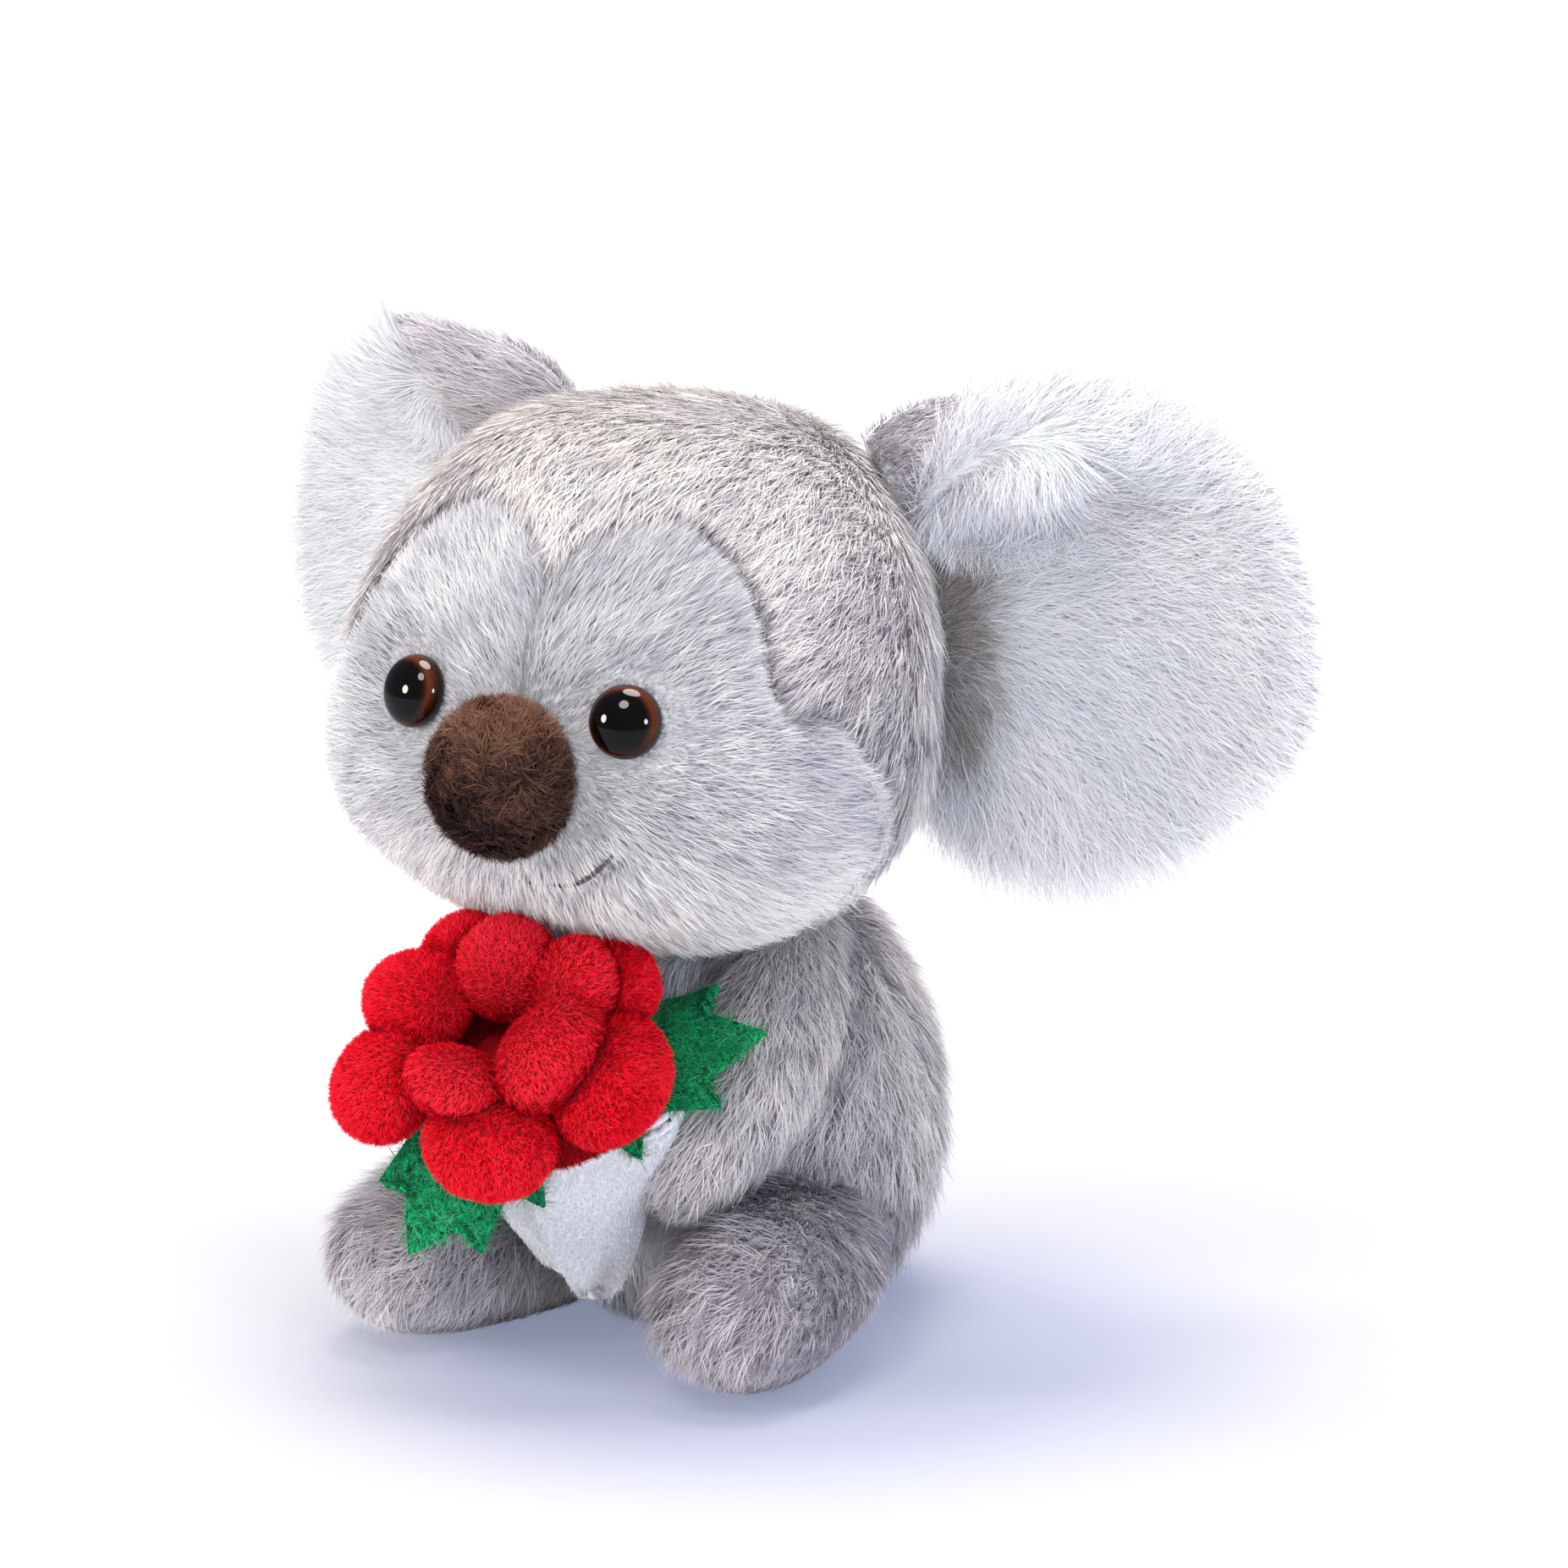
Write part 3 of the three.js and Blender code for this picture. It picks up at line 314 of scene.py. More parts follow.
class Grid:
    """A surface as rows and columns of points; closed joins the last column to the first."""

    def __init__(self, points, closed=False, flip=False):
        self.points = np.asarray(points, float)
        self.closed = closed
        self.flip = flip
        self.normals = -self.find_normals() if flip else self.find_normals()

    def find_normals(self):
        p = self.points
        if self.closed:
            along = np.roll(p, -1, 1) - np.roll(p, 1, 1)
        else:
            along = np.gradient(p, axis=1)
        up = np.gradient(p, axis=0)
        n = np.cross(along, up)
        size = np.linalg.norm(n, axis=-1)
        weak = size < 1e-7 * max(size.max(), 1e-9)
        n = unit(n)
        for row, near in ((0, 1), (-1, -2)):
            if weak[row].mean() > 0.5:
                n[row] = unit(n[near].mean(0))[None]
        return n

    def quads(self, offset=0):
        """The corner numbers of each cell, counted from offset."""
        rows, columns = self.points.shape[:2]
        last = columns if self.closed else columns - 1
        i, j = np.meshgrid(np.arange(rows - 1), np.arange(last), indexing="ij")
        k = (j + 1) % columns
        corners = [i * columns + j, i * columns + k, (i + 1) * columns + k, (i + 1) * columns + j]
        q = np.stack(corners, axis=-1).reshape(-1, 4) + offset
        return q[:, ::-1] if self.flip else q

    def spanned(self, f):
        """Values on the grid's points, with a closed grid's first column again at the end."""
        return np.concatenate([f, f[:, :1]], 1) if self.closed else f

    def areas(self):
        a, b, c, d = cells(self.spanned(self.points))
        lower = np.linalg.norm(np.cross(b - a, c - a), axis=-1)
        upper = np.linalg.norm(np.cross(c - a, d - a), axis=-1)
        return (lower + upper) / 2

    def square_metres(self):
        return self.areas().sum() * METRES**2

    def scatter(self, count, rng):
        """Random places spread evenly by area, each with its normal, and the grid's area."""
        area = self.areas()
        total = np.cumsum(area.ravel())
        pick = np.searchsorted(total, (np.arange(count) + rng.random(count)) / count * total[-1])
        pick = np.minimum(pick, area.size - 1)
        i, j = np.divmod(pick, area.shape[1])
        s, t = rng.random((2, count, 1))

        def mix(f):
            low = f[i, j] * (1 - s) + f[i, j + 1] * s
            high = f[i + 1, j] * (1 - s) + f[i + 1, j + 1] * s
            return low * (1 - t) + high * t

        return mix(self.spanned(self.points)), unit(mix(self.spanned(self.normals))), total[-1]

    def moved(self, out):
        """The same grid with each point moved out along its normal."""
        p = self.points.reshape(-1, 3) + self.normals.reshape(-1, 3) * out[:, None]
        return Grid(p.reshape(self.points.shape), self.closed, self.flip)


# From grids to Blender objects.

def new_mesh(name, points, loops, starts, uv=None):
    """A mesh from flat arrays: points, the corner list and where each face starts in it."""
    mesh = bpy.data.meshes.new(name)
    mesh.vertices.add(len(points))
    mesh.vertices.foreach_set("co", ((points - SHIFT) * METRES).astype(np.float32).ravel())
    mesh.loops.add(len(loops))
    mesh.loops.foreach_set("vertex_index", loops.astype(np.int32))
    mesh.polygons.add(len(starts))
    mesh.polygons.foreach_set("loop_start", starts.astype(np.int32))
    if uv is not None:
        layer = mesh.uv_layers.new(name=FUR_UV)
        layer.data.foreach_set("uv", uv.astype(np.float32).ravel())
    mesh.update(calc_edges=True)
    mesh.polygons.foreach_set("use_smooth", np.ones(len(starts), bool))
    return mesh


def new_object(name, data):
    obj = bpy.data.objects.new(name, data)
    bpy.context.scene.collection.objects.link(obj)
    return obj


def fasten(obj, body):
    """body is one body's name, which the object is attached to; given anything else, such as two bodies and
    two places, the object is attached to nothing and its placement is baked into its mesh.
    """
    if isinstance(body, str):
        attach(obj, body)
    else:
        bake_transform(obj)


def grid_object(name, body, material, grids, thickness=0.0):
    """One object from one or more grids; thickness is laid inwards from the surface."""
    grids = grids if isinstance(grids, list) else [grids]
    points = []
    quads = []
    offset = 0
    for g in grids:
        points.append(g.points.reshape(-1, 3))
        quads.append(g.quads(offset))
        offset += len(points[-1])
    obj = new_object(name, welded_mesh(name, np.concatenate(points), np.concatenate(quads)))
    obj.data.materials.append(material)
    if thickness:
        solid = obj.modifiers.new("cloth", "SOLIDIFY")
        solid.thickness = thickness * METRES
        solid.offset = -1
    fasten(obj, body)
    return obj


def stuffed(name, body, material, grids, node, thickness=0.0):
    """A padded piece from one or more grids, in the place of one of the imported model's nodes."""
    obj = grid_object(name, body, material, grids, thickness)
    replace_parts(obj, node)


def welded_mesh(name, points, quads):
    """Joins points that lie on each other, so that poles and joins close, and drops faces with no area."""
    key = np.round(points / WELD).astype(np.int64)
    _, first, inverse = np.unique(key, axis=0, return_index=True, return_inverse=True)
    q = inverse.ravel()[quads]
    same = q == np.roll(q, -1, axis=1)
    keep_quad = ~same.any(1)
    keep_tri = same.sum(1) == 1
    order = (np.argmax(same[keep_tri], axis=1)[:, None] + np.array([1, 2, 3])) % 4
    tri = np.take_along_axis(q[keep_tri], order, axis=1)
    loops = np.concatenate([q[keep_quad].ravel(), tri.ravel()])
    quad_count = keep_quad.sum()
    starts = np.concatenate([np.arange(quad_count) * 4, quad_count * 4 + np.arange(keep_tri.sum()) * 3])
    return new_mesh(name, points[first], loops, starts)


# Materials.

def colour(hex_code):
    """An sRGB hex colour as Blender's linear one."""
    values = [int(hex_code[i:i + 2], 16) / 255 for i in (1, 3, 5)]
    return (*[v / 12.92 if v <= 0.04045 else ((v + 0.055) / 1.055) ** 2.4 for v in values], 1)


def add(owner, kind, **settings):
    """Adds a node to a material or world; a setting named as an input fills it, others are the node's own."""
    node = owner.node_tree.nodes.new(kind)
    for key, value in settings.items():
        if key in node.inputs:
            node.inputs[key].default_value = value
        else:
            setattr(node, key, value)
    return node


def link(owner, source, target):
    owner.node_tree.links.new(source, target)


def ramp(material, value, stops):
    """A colour ramp over a value, from its places and hex colours."""
    node = add(material, "ShaderNodeValToRGB")
    elements = node.color_ramp.elements
    while len(elements) < len(stops):
        elements.new(0.5)
    for element, (place, hex_code) in zip(elements, stops):
        element.position = place
        element.color = colour(hex_code)
    link(material, value, node.inputs[0])
    return node.outputs[0]


def bare_material(name):
    """A material with nothing in it but its output, and that output's surface socket."""
    material = bpy.data.materials.new(name)
    material.use_nodes = True
    material.node_tree.nodes.clear()
    return material, add(material, "ShaderNodeOutputMaterial").inputs[0]


def new_material(name, roughness=0.8, sheen=0.0, specular=0.5):
    material, surface = bare_material(name)
    shader = add(material, "ShaderNodeBsdfPrincipled", Roughness=roughness)
    shader.inputs["Sheen Weight"].default_value = sheen
    shader.inputs["Specular IOR Level"].default_value = specular
    link(material, shader.outputs[0], surface)
    return material, shader


def multiply(material, a, b):
    """Two colours multiplied."""
    node = add(material, "ShaderNodeMix", data_type="RGBA", blend_type="MULTIPLY")
    node.inputs[0].default_value = 1.0
    link(material, a, node.inputs[6])
    link(material, b, node.inputs[7])
    return node.outputs[2]


def map_parts(material, name):
    """The two coordinates of one of the mesh's own maps."""
    uv = add(material, "ShaderNodeUVMap", uv_map=name)
    parts = add(material, "ShaderNodeSeparateXYZ")
    link(material, uv.outputs[0], parts.inputs[0])
    return parts.outputs[0], parts.outputs[1]


def noise_at(material, place, **settings):
    texture = add(material, "ShaderNodeTexNoise", **settings)
    link(material, place, texture.inputs["Vector"])
    return texture.outputs[0]


def raise_surface(material, shader, height, strength):
    """A bump from a height between 0 and 1."""
    relief = add(material, "ShaderNodeBump", Strength=strength, Distance=BUMP_METRES)
    link(material, height, relief.inputs["Height"])
    link(material, relief.outputs[0], shader.inputs["Normal"])


def pile_material(name, dark, middle, light, root, sheen=0.25, specular=0.3):
    """Pile fibres: across the map runs each lock's own tone, and up it a painted shade that darkens each
    fibre from the root colour at its base to white at its tip, as deep pile shades itself.
    The eye gets single locks and the painted dark between them."""
    material, shader = new_material(name, sheen=sheen, specular=specular)
    across_map, up_map = map_parts(material, FUR_UV)
    tone = ramp(material, across_map, [(0.05, dark), (0.5, middle), (0.95, light)])
    # Painted shade: each fibre darkens towards its root, in the root colour.
    shade = ramp(material, up_map, [(0.0, root), (0.45, "#ededed"), (1.0, "#ffffff")])
    link(material, multiply(material, tone, shade), shader.inputs["Base Color"])
    gloss = add(material, "ShaderNodeMapRange")
    gloss.inputs["To Min"].default_value = 0.85
    gloss.inputs["To Max"].default_value = 0.6
    link(material, up_map, gloss.inputs["Value"])
    link(material, gloss.outputs[0], shader.inputs["Roughness"])
    return material


def cloth_material(name, low, high, size=0.5, bump=0.15, sheen=0.2, roughness=0.85, specular=0.2):
    """The knitted cloth that the pile grows from: fine mottling and a soft bump at the size of its loops."""
    material, shader = new_material(name, roughness=roughness, sheen=sheen, specular=specular)
    place = add(material, "ShaderNodeTexCoord").outputs["Object"]
    grain = noise_at(material, place, Scale=1000 / size, Detail=3.0)
    patches = noise_at(material, place, Scale=120.0, Detail=2.0)
    both = add(material, "ShaderNodeMath", operation="ADD")
    link(material, grain, both.inputs[0])
    link(material, patches, both.inputs[1])
    half = add(material, "ShaderNodeMath", operation="MULTIPLY")
    half.inputs[1].default_value = 0.5
    link(material, both.outputs[0], half.inputs[0])
    link(material, ramp(material, half.outputs[0], [(0.35, low), (0.65, high)]), shader.inputs["Base Color"])
    raise_surface(material, shader, grain, bump)
    return material


# Each pile's root colour is painted shade, deep in the pile where the fibres shade each other.
grey_pile = pile_material("grey_long_pile_plush", "#9b949e", "#cfcacf", "#f4efea", root="#aaa4ac")
pale_pile = pile_material("pale_face_pile_plush", "#a5a4ac", "#cfcfd3", "#f6f5f2", root="#babac0")
# White pile's darkest stop, a warm grey, gives the painted shade of the ear's hollow and fold.
white_pile = pile_material("white_long_pile_plush", "#a39b92", "#eff1f5", "#fefefe", root="#f0f2f5")
# The grey, pale and white backings, and the brown and red ones below, are darker than their pile: painted
# shade in the gaps between the fibres.
grey_cloth = cloth_material("grey_plush_backing", "#aaa4a8", "#c2bcc0")
pale_cloth = cloth_material("pale_plush_backing", "#bdbcbd", "#d4d3d3")
white_cloth = cloth_material("white_plush_backing", "#cfd0d2", "#e2e4e6")
nose_pile = pile_material("brown_brushed_nose_pile", "#241617", "#46302b", "#8a6049", root="#8a8484",
                          sheen=0.0, specular=0.2)
nose_cloth = cloth_material("brown_nose_backing", "#2a1c1d", "#3c2a2a")
red_pile = pile_material("red_short_pile_plush", "#a00012", "#fb0522", "#ff3044", root="#b08890",
                         sheen=0.0, specular=0.08)
red_cloth = cloth_material("red_plush_backing", "#8a0812", "#b00d18")
red_satin = cloth_material("smooth_red_label_cloth", "#84060f", "#960a15",
                           size=0.25, bump=0.08, sheen=0.0, roughness=0.7, specular=0.06)
wrap_pile = pile_material("white_minky_pile", "#d8dade", "#e8eaee", "#f6f8fb", root="#d0d2d6", sheen=0.15)
wrap_cloth = cloth_material("white_minky_backing", "#d8dade", "#e8eaee")
filling = cloth_material("polyester_fibre_filling", "#e6e4dc", "#f8f7f2", size=1.4, bump=0.5)


# Pile.

def value_at(setting, p):
    """A setting that is a function of the roots, or one number for all of them."""
    return setting(p) if callable(setting) else np.full(len(p), float(setting))


def find_roots(grids, per_mm2, rng):
    """Roots spread evenly over the grids, per_mm2 on each square millimetre, with their normals."""
    roots = []
    normals = []
    for g in grids if isinstance(grids, list) else [grids]:
        # The first few places are drawn only to learn the grid's area.
        _, _, area = g.scatter(8, rng)
        p, n, _ = g.scatter(int(area * per_mm2), rng)
        roots.append(p)
        normals.append(n)
    return np.concatenate(roots), np.concatenate(normals)


def fur(name, body, material, grids, per_mm2, length, flow, seed, lift=0.6, clump=0.9, pull=0.75, width=0.15,
        wander=0.18, clump_wander=0.25, sag=0.0, tone=0.0, keep=None, floor=False, spread=0.35):
    """Pile on the given grids. Each fibre is a bent strip that tapers to a point: it starts under the skin,
    rises by lift of its length and bends over along the flow, while its tip is drawn to its lock's middle.
    length, lift and tone are functions of the roots, or plain numbers; flow gives the nap's direction from
    roots and normals, and keep gives the share of the fibres that stay."""
    rng = np.random.default_rng(seed)
    p, n = find_roots(grids, per_mm2, rng)
    if keep is not None:
        kept = rng.random(len(p)) < keep(p)
        p = p[kept]
        n = n[kept]
    count = len(p)
    offset, numbers = clumps(p, clump, seed)
    offset = across(offset, n)
    t = unit(across(flow(p, n), n) + 1e-6)
    turn = (wander * rng.normal(size=count) + clump_wander * (numbers[:, 1] * 2 - 1))[:, None]
    t = t * np.cos(turn) + np.cross(n, t) * np.sin(turn)
    uneven = 1 - spread / 2 + spread * rng.random(count)
    size = (value_at(length, p) * uneven * (0.82 + 0.36 * numbers[:, 0]))[:, None]
    rise = value_at(lift, p)[:, None] * (0.8 + 0.4 * numbers[:, 2:3])
    rise = np.clip(rise + 0.08 * rng.normal(size=(count, 1)), 0.05, 0.97)
    low = unit(n * rise + t * np.sqrt(1 - rise**2))
    late = rise * 0.45
    high = unit(n * late + t * np.sqrt(1 - late**2) - UP * sag)
    draw = pull * np.minimum(1, size / 3)
    start = p - n * ROOT_DEPTH
    middle = p + low * size * 0.5 + offset * draw * 0.4
    tip = middle + high * size * 0.5 + offset * draw * 0.6
    roll = 0.5 * rng.normal(size=(count, 1))
    w = unit(np.cross(low, n))
    w = w * np.cos(roll) + np.cross(low, w) * np.sin(roll)
    w = w * (width / 2 * (0.75 + 0.5 * rng.random((count, 1))))
    points = np.stack([start - w, start + w, middle - w * 0.8, middle + w * 0.8, tip], 1)
    if floor:
        points[..., 2] = np.maximum(points[..., 2], OFF_FLOOR)
    shade = 0.5 + 0.4 * (numbers[:, 0] - 0.5) + 0.34 * (rng.random(count) - 0.5)
    shade = shade + 0.35 * (noise(p, 7.0, seed + 1) - 0.5) + value_at(tone, p)
    cell = np.clip((shade * TONES).astype(int), 0, TONES - 1)
    for part, first in enumerate(range(0, count, BLADES_PER_PIECE), 1):
        chunk = slice(first, first + BLADES_PER_PIECE)
        piece = f"{name}_{part}" if count > BLADES_PER_PIECE else name
        blades(piece, body, material, points[chunk], cell[chunk])


def blades(name, body, material, points, cell):
    """Five points a fibre: a four-cornered face from root to middle and a pointed one from middle to tip.
    The map's first coordinate is the fibre's own tone and its second runs from root to tip."""
    count = len(points)
    loops = (np.arange(count)[:, None] * 5 + np.array([0, 1, 3, 2, 2, 3, 4])).ravel()
    starts = (np.arange(count)[:, None] * 7 + np.array([0, 4])).ravel()
    left = (cell + 0.15) / TONES
    right = (cell + 0.85) / TONES
    u = np.stack([left, right, right, left, left, right, (left + right) / 2], 1)
    v = np.broadcast_to(np.array([0.02, 0.02, 0.5, 0.5, 0.5, 0.5, 0.98]), u.shape)
    uv = np.stack([u, v], -1).reshape(-1, 2)
    obj = new_object(name, new_mesh(name, points.reshape(-1, 3), loops, starts, uv))
    obj.data.materials.append(material)
    fasten(obj, body)


# The head, with its nose, eyes and mouth.

def face_top(angle):
    """How high the pale face panel reaches at each angle, in levels."""
    return curve_through(np.abs(np.degrees(angle)), FACE_ANGLES, FACE_TOPS)


def head_at(level, angle, out=0.0):
    p = place_head(form_point(HEAD, level, angle, out))
    p[..., 2] = np.maximum(p[..., 2], NECK_Z + 0.15)
    return p


def seam_lines():
    """Points along the seam round the face, down the brow's middle and where a brow lobe ends in a crease."""
    angle = np.linspace(-FACE_SIDE, FACE_SIDE, 361)
    edge = head_at(face_top(angle), angle)
    middle = head_at(np.linspace(0.53, -0.1, 80), np.zeros(80))
    steep = (np.abs(angle) > math.radians(34)) & (np.abs(angle) < math.radians(55))
    return edge, middle, edge[steep]


def smile(s, out):
    """The mouth, out from the face: its angle runs evenly with s and its level rises with s squared."""
    return place_head(form_point(HEAD, -0.665 + 0.2 * s**2, math.radians(16.5) * s, out))


FACE_EDGE, FACE_MIDDLE, FACE_CREASE = seam_lines()
MOUTH = smile(np.linspace(-1, 1, 80), 0.6)
MOUTH_NEAR_HALF = MOUTH[44:]


def pinched(grid):
    """The cloth drawn in along its seams, and a little along the near half of the mouth."""
    p = grid.points.reshape(-1, 3)
    seam = np.minimum(distance_to(p, FACE_EDGE), distance_to(p, FACE_MIDDLE) + 0.6)
    pull = 1.7 * hump(seam, 2.0) + 0.9 * hump(distance_to(p, MOUTH_NEAR_HALF), 1.3)
    pull = pull + hump(distance_to(p, FACE_CREASE), 1.6)
    return grid.moved(-pull)


def head_grids():
    """The crown and back as two patches, and the face as two panels that meet on its middle seam."""
    angle = np.linspace(-FACE_SIDE, FACE_SIDE, 131)
    low = face_top(angle)[None, :]
    t = pole_levels(40)[:, None] * 0.5 + 0.5
    crown = Grid(head_at(low + (1 - low) * t, np.broadcast_to(angle, (40, 131))))
    back_angle = np.linspace(FACE_SIDE, 2 * np.pi - FACE_SIDE, 81)
    back = Grid(head_at(pole_levels(64)[:, None], back_angle[None, :]))
    faces = {}
    for side, mirror in SIDES:
        a = np.sort(mirror * np.linspace(0, FACE_SIDE, 81))
        levels = -1 + (face_top(a)[None, :] + 1) * (np.linspace(0, 1, 56)[:, None] ** 1.25)
        faces[side] = Grid(head_at(levels, np.broadcast_to(a, (56, 81))))
    return [crown, back], faces


NOSE = dict(level=-0.225, stand=2.4, half=np.array([9.9, 10.3, 8.6]))
EYE = dict(level=0.02, angle=math.radians(20.5), stand=0.3, radius=5.0, dome=4.1, rim=0.8, round=0.25,
           stem=1.5, stem_length=8.0)


def surface_frame(level, angle, out):
    """A frame on the head's surface: x sideways, y up and z straight out, and its middle."""
    d = 0.01
    at = form_point(HEAD, level, angle)
    x = unit(form_point(HEAD, level, angle + d) - at)
    z = unit(np.cross(x, form_point(HEAD, level + d, angle) - at))
    y = np.cross(z, x)
    axes = [place_head(at + v) - place_head(at) for v in (x, y, z)]
    return place_head(at + z * out), np.stack(axes)


eye_frames = {side: surface_frame(EYE["level"], mirror * EYE["angle"], EYE["stand"])
              for side, mirror in SIDES}
nose_middle, nose_axes = surface_frame(NOSE["level"], 0.0, NOSE["stand"])


def face_flow(p, n):
    """The face's nap spreads from the bridge of the nose and away from the middle seam."""
    v = p - (nose_middle + np.array([0, 0, 2.0]))
    v[:, 1] *= 0.3
    v = unit(v)
    v[:, 0] += np.sign(p[:, 0]) * 0.8 * np.exp(-np.abs(p[:, 0]) / 5) * step(p[:, 2], 92, 104)
    v[:, 2] -= 0.5 * step(-p[:, 2], -82, -66)
    for middle, _ in eye_frames.values():
        away = p - middle
        near = fading(np.linalg.norm(away, axis=1) - 4, 2.2)[:, None]
        v = v * (1 - 0.4 * near) + unit(away) * near * 0.4
    return v


def crown_flow(p, n):
    """The crown's nap runs forward to the face's edge, and down at the back of the head."""
    forward = np.tile(np.array([0.0, -1.0, -0.45]), (len(p), 1))
    forward[:, 0] += -0.12 * np.sign(p[:, 0])
    behind = step(n[:, 1], 0.0, 0.5)[:, None]
    swirl = noise(p, 9, 29)[:, None] - 0.5
    return forward * (1 - behind) - UP * behind + 0.5 * UP * swirl


def near_face_features(p):
    """How far each root is from the eyes, the nose and the mouth, in millimetres from their edges."""
    eyes = np.min([np.linalg.norm(p - middle, axis=1) for middle, _ in eye_frames.values()], axis=0)
    nose = np.linalg.norm((p - nose_middle) @ nose_axes.T / NOSE["half"], axis=1)
    return eyes - EYE["radius"], (nose - 1) * 9.5, distance_to(p, MOUTH)


def face_length(p):
    """Shorter at the seams, the eyes, the nose and the near half of the mouth; longer on the far cheek."""
    eyes, nose, mouth = near_face_features(p)
    seam = np.minimum(distance_to(p, FACE_EDGE), distance_to(p, FACE_MIDDLE) + 1)
    size = (4.6 + 1.6 * step(-p[:, 0], 20, 34)) * (0.55 + 0.45 * step(seam, 0, 4))
    size = size * (0.26 + 0.74 * step(eyes, -0.5, 6)) * (0.45 + 0.55 * step(nose, 0, 5))
    size = size * (1 - 0.75 * step(p[:, 0], 0.5, 3.5) * hump(mouth, 1.5))
    return np.minimum(size, 0.5 + 0.75 * distance_to(p, FACE_CREASE))


def face_keep(p):
    """No pile under the eyes and the nose or in the crease, and little on the near half of the mouth."""
    eyes, nose, mouth = near_face_features(p)
    open_crease = step(distance_to(p, FACE_CREASE), 0.1, 0.5)
    return (eyes > -0.7) * (nose > -0.8) * open_crease * (1 - 0.85 * hump(mouth, 0.8) * step(p[:, 0], 0.5, 3))


def face_mottle_and_painted_shading(p):
    """Painted light, lighter low on the cheeks and a little at the sides; painted shade, dark in the seams,
    in the brow crease and round the eyes and the mouth; and mottled all over.
    """
    eyes, _, mouth = near_face_features(p)
    seam = np.minimum(distance_to(p, FACE_EDGE), distance_to(p, FACE_MIDDLE))
    patches = 0.3 * (noise(p, 3.0, 27) - 0.5)
    # Painted shade in the brow crease and along the near half of the mouth.
    crease = 0.35 * hump(distance_to(p, FACE_CREASE), 0.9)
    crease = crease + 0.3 * hump(mouth, 1.4) * step(p[:, 0], 0.5, 3.5)
    # Painted light, low on the face and at its sides.
    light = 0.34 * step(-p[:, 2], -86, -68) + 0.04 * step(np.abs(p[:, 0]), 22, 36)
    return light + patches - crease - 0.25 * hump(seam, 1.1) - 0.2 * fading(eyes, 2.5)


def crown_length(p):
    """Shorter towards the seam round the face, and shortest in the crease."""
    size = 6.0 * (0.55 + 0.45 * step(distance_to(p, FACE_EDGE), 0, 4))
    return np.minimum(size, 0.5 + 0.85 * distance_to(p, FACE_CREASE))


def crown_keep(p):
    return step(distance_to(p, FACE_CREASE), 0.2, 0.8)


def crown_mottle_and_painted_shading(p):
    """Painted light, lighter on top and at the side of the head; painted shade, dark in the seam; and mottled
    all over.
    """
    patches = 0.3 * (noise(p, 4.0, 28) - 0.5)
    # Painted light on the side and the top of the head, and painted shade in the seam round the face.
    side = 0.14 * step(np.abs(p[:, 0]), 22, 36)
    top = 0.36 * step(p[:, 2], 102, 128)
    return patches + side - 0.05 + top - 0.45 * hump(distance_to(p, FACE_EDGE), 1.5)


def build_head():
    """The crown, the two face panels, a dark cord of painted shade in each brow crease and the filling
    inside.
    """
    crown, faces = head_grids()
    crown = [pinched(g) for g in crown]
    stuffed("head_crown_skin", "head", grey_cloth, crown, "head_crown_and_back", SKIN)
    fur("head_crown_pile", "head", grey_pile, crown, 8.5, crown_length, crown_flow, 11, lift=0.32,
        tone=crown_mottle_and_painted_shading, keep=crown_keep, clump=0.95, pull=0.65, wander=0.2, clump_wander=0.35, width=0.16)
    for seed, (side, grid) in enumerate(faces.items(), 21):
        grid = pinched(grid)
        stuffed(f"face_{side}_skin", "head", pale_cloth, grid, f"face_panel_{side}", SKIN)
        fur(f"face_{side}_pile", "head", pale_pile, grid, 11.8, face_length, face_flow, seed, lift=0.42,
            keep=face_keep, tone=face_mottle_and_painted_shading, clump=0.85, pull=0.8, width=0.122)
    # A dark cord sunk in each brow crease paints the shade of its groove.
    thread = cloth_material("crease_painted_shade_cord", "#4c4244", "#6a6064", size=0.3, bump=0.4)
    for side, mirror in SIDES:
        line = FACE_CREASE[FACE_CREASE[:, 0] * mirror > 0]
        sunk = line + unit(HEAD_CENTRE - line) * 2.0
        grid_object(f"brow_crease_painted_shade_{side}_thread", "head", thread, tube_grid(sunk, 0.5))
    inner = place_head(form_grid(HEAD, 40, 60, -2.6))
    inner[..., 2] = np.maximum(inner[..., 2], NECK_Z + 1.8)
    stuffed("head_filling", "head", filling, Grid(inner, closed=True), "head_stuffing")


def ball_grid(middle, axes, half, rows, columns):
    """An ellipsoid with three half widths, whose poles lie along its third axis."""
    level = -np.cos(np.linspace(0, np.pi, rows))[:, None]
    a = ring_angles(columns)[None, :]
    ring = np.sqrt(np.maximum(0, 1 - level**2))
    local = np.stack([half[0] * ring * np.cos(a), half[1] * ring * np.sin(a), half[2] * level + 0 * a], -1)
    return Grid(middle + local @ axes, closed=True)


def build_nose():
    """A stuffed ball of brushed pile that runs every way."""
    grid = ball_grid(nose_middle, nose_axes, NOSE["half"] - np.array([0.7, 0.7, 0.5]), 40, 64)
    stuffed("nose_skin", "head", nose_cloth, grid, "nose")

    def flow(p, n):
        return 2.6 * swirls(p, 3.5, (33, 34, 35)) + UP * 0.5

    # Painted light on the top of the nose and painted shade under it, over mottling.
    def tone(p):
        height = ((p - nose_middle) @ nose_axes.T)[:, 1]
        return 0.3 * step(height, 0, 8) - 0.14 * step(-height, -2, 5) + 0.3 * (noise(p, 2.0, 36) - 0.5)

    def keep(p):
        return head_ratio(p) > 1.0

    fur("nose_pile", "head", nose_pile, grid, 19.5, 2.9, flow, 31, lift=0.66, clump=0.8, pull=0.75,
        width=0.14, wander=0.7, clump_wander=1.2, tone=tone, keep=keep)


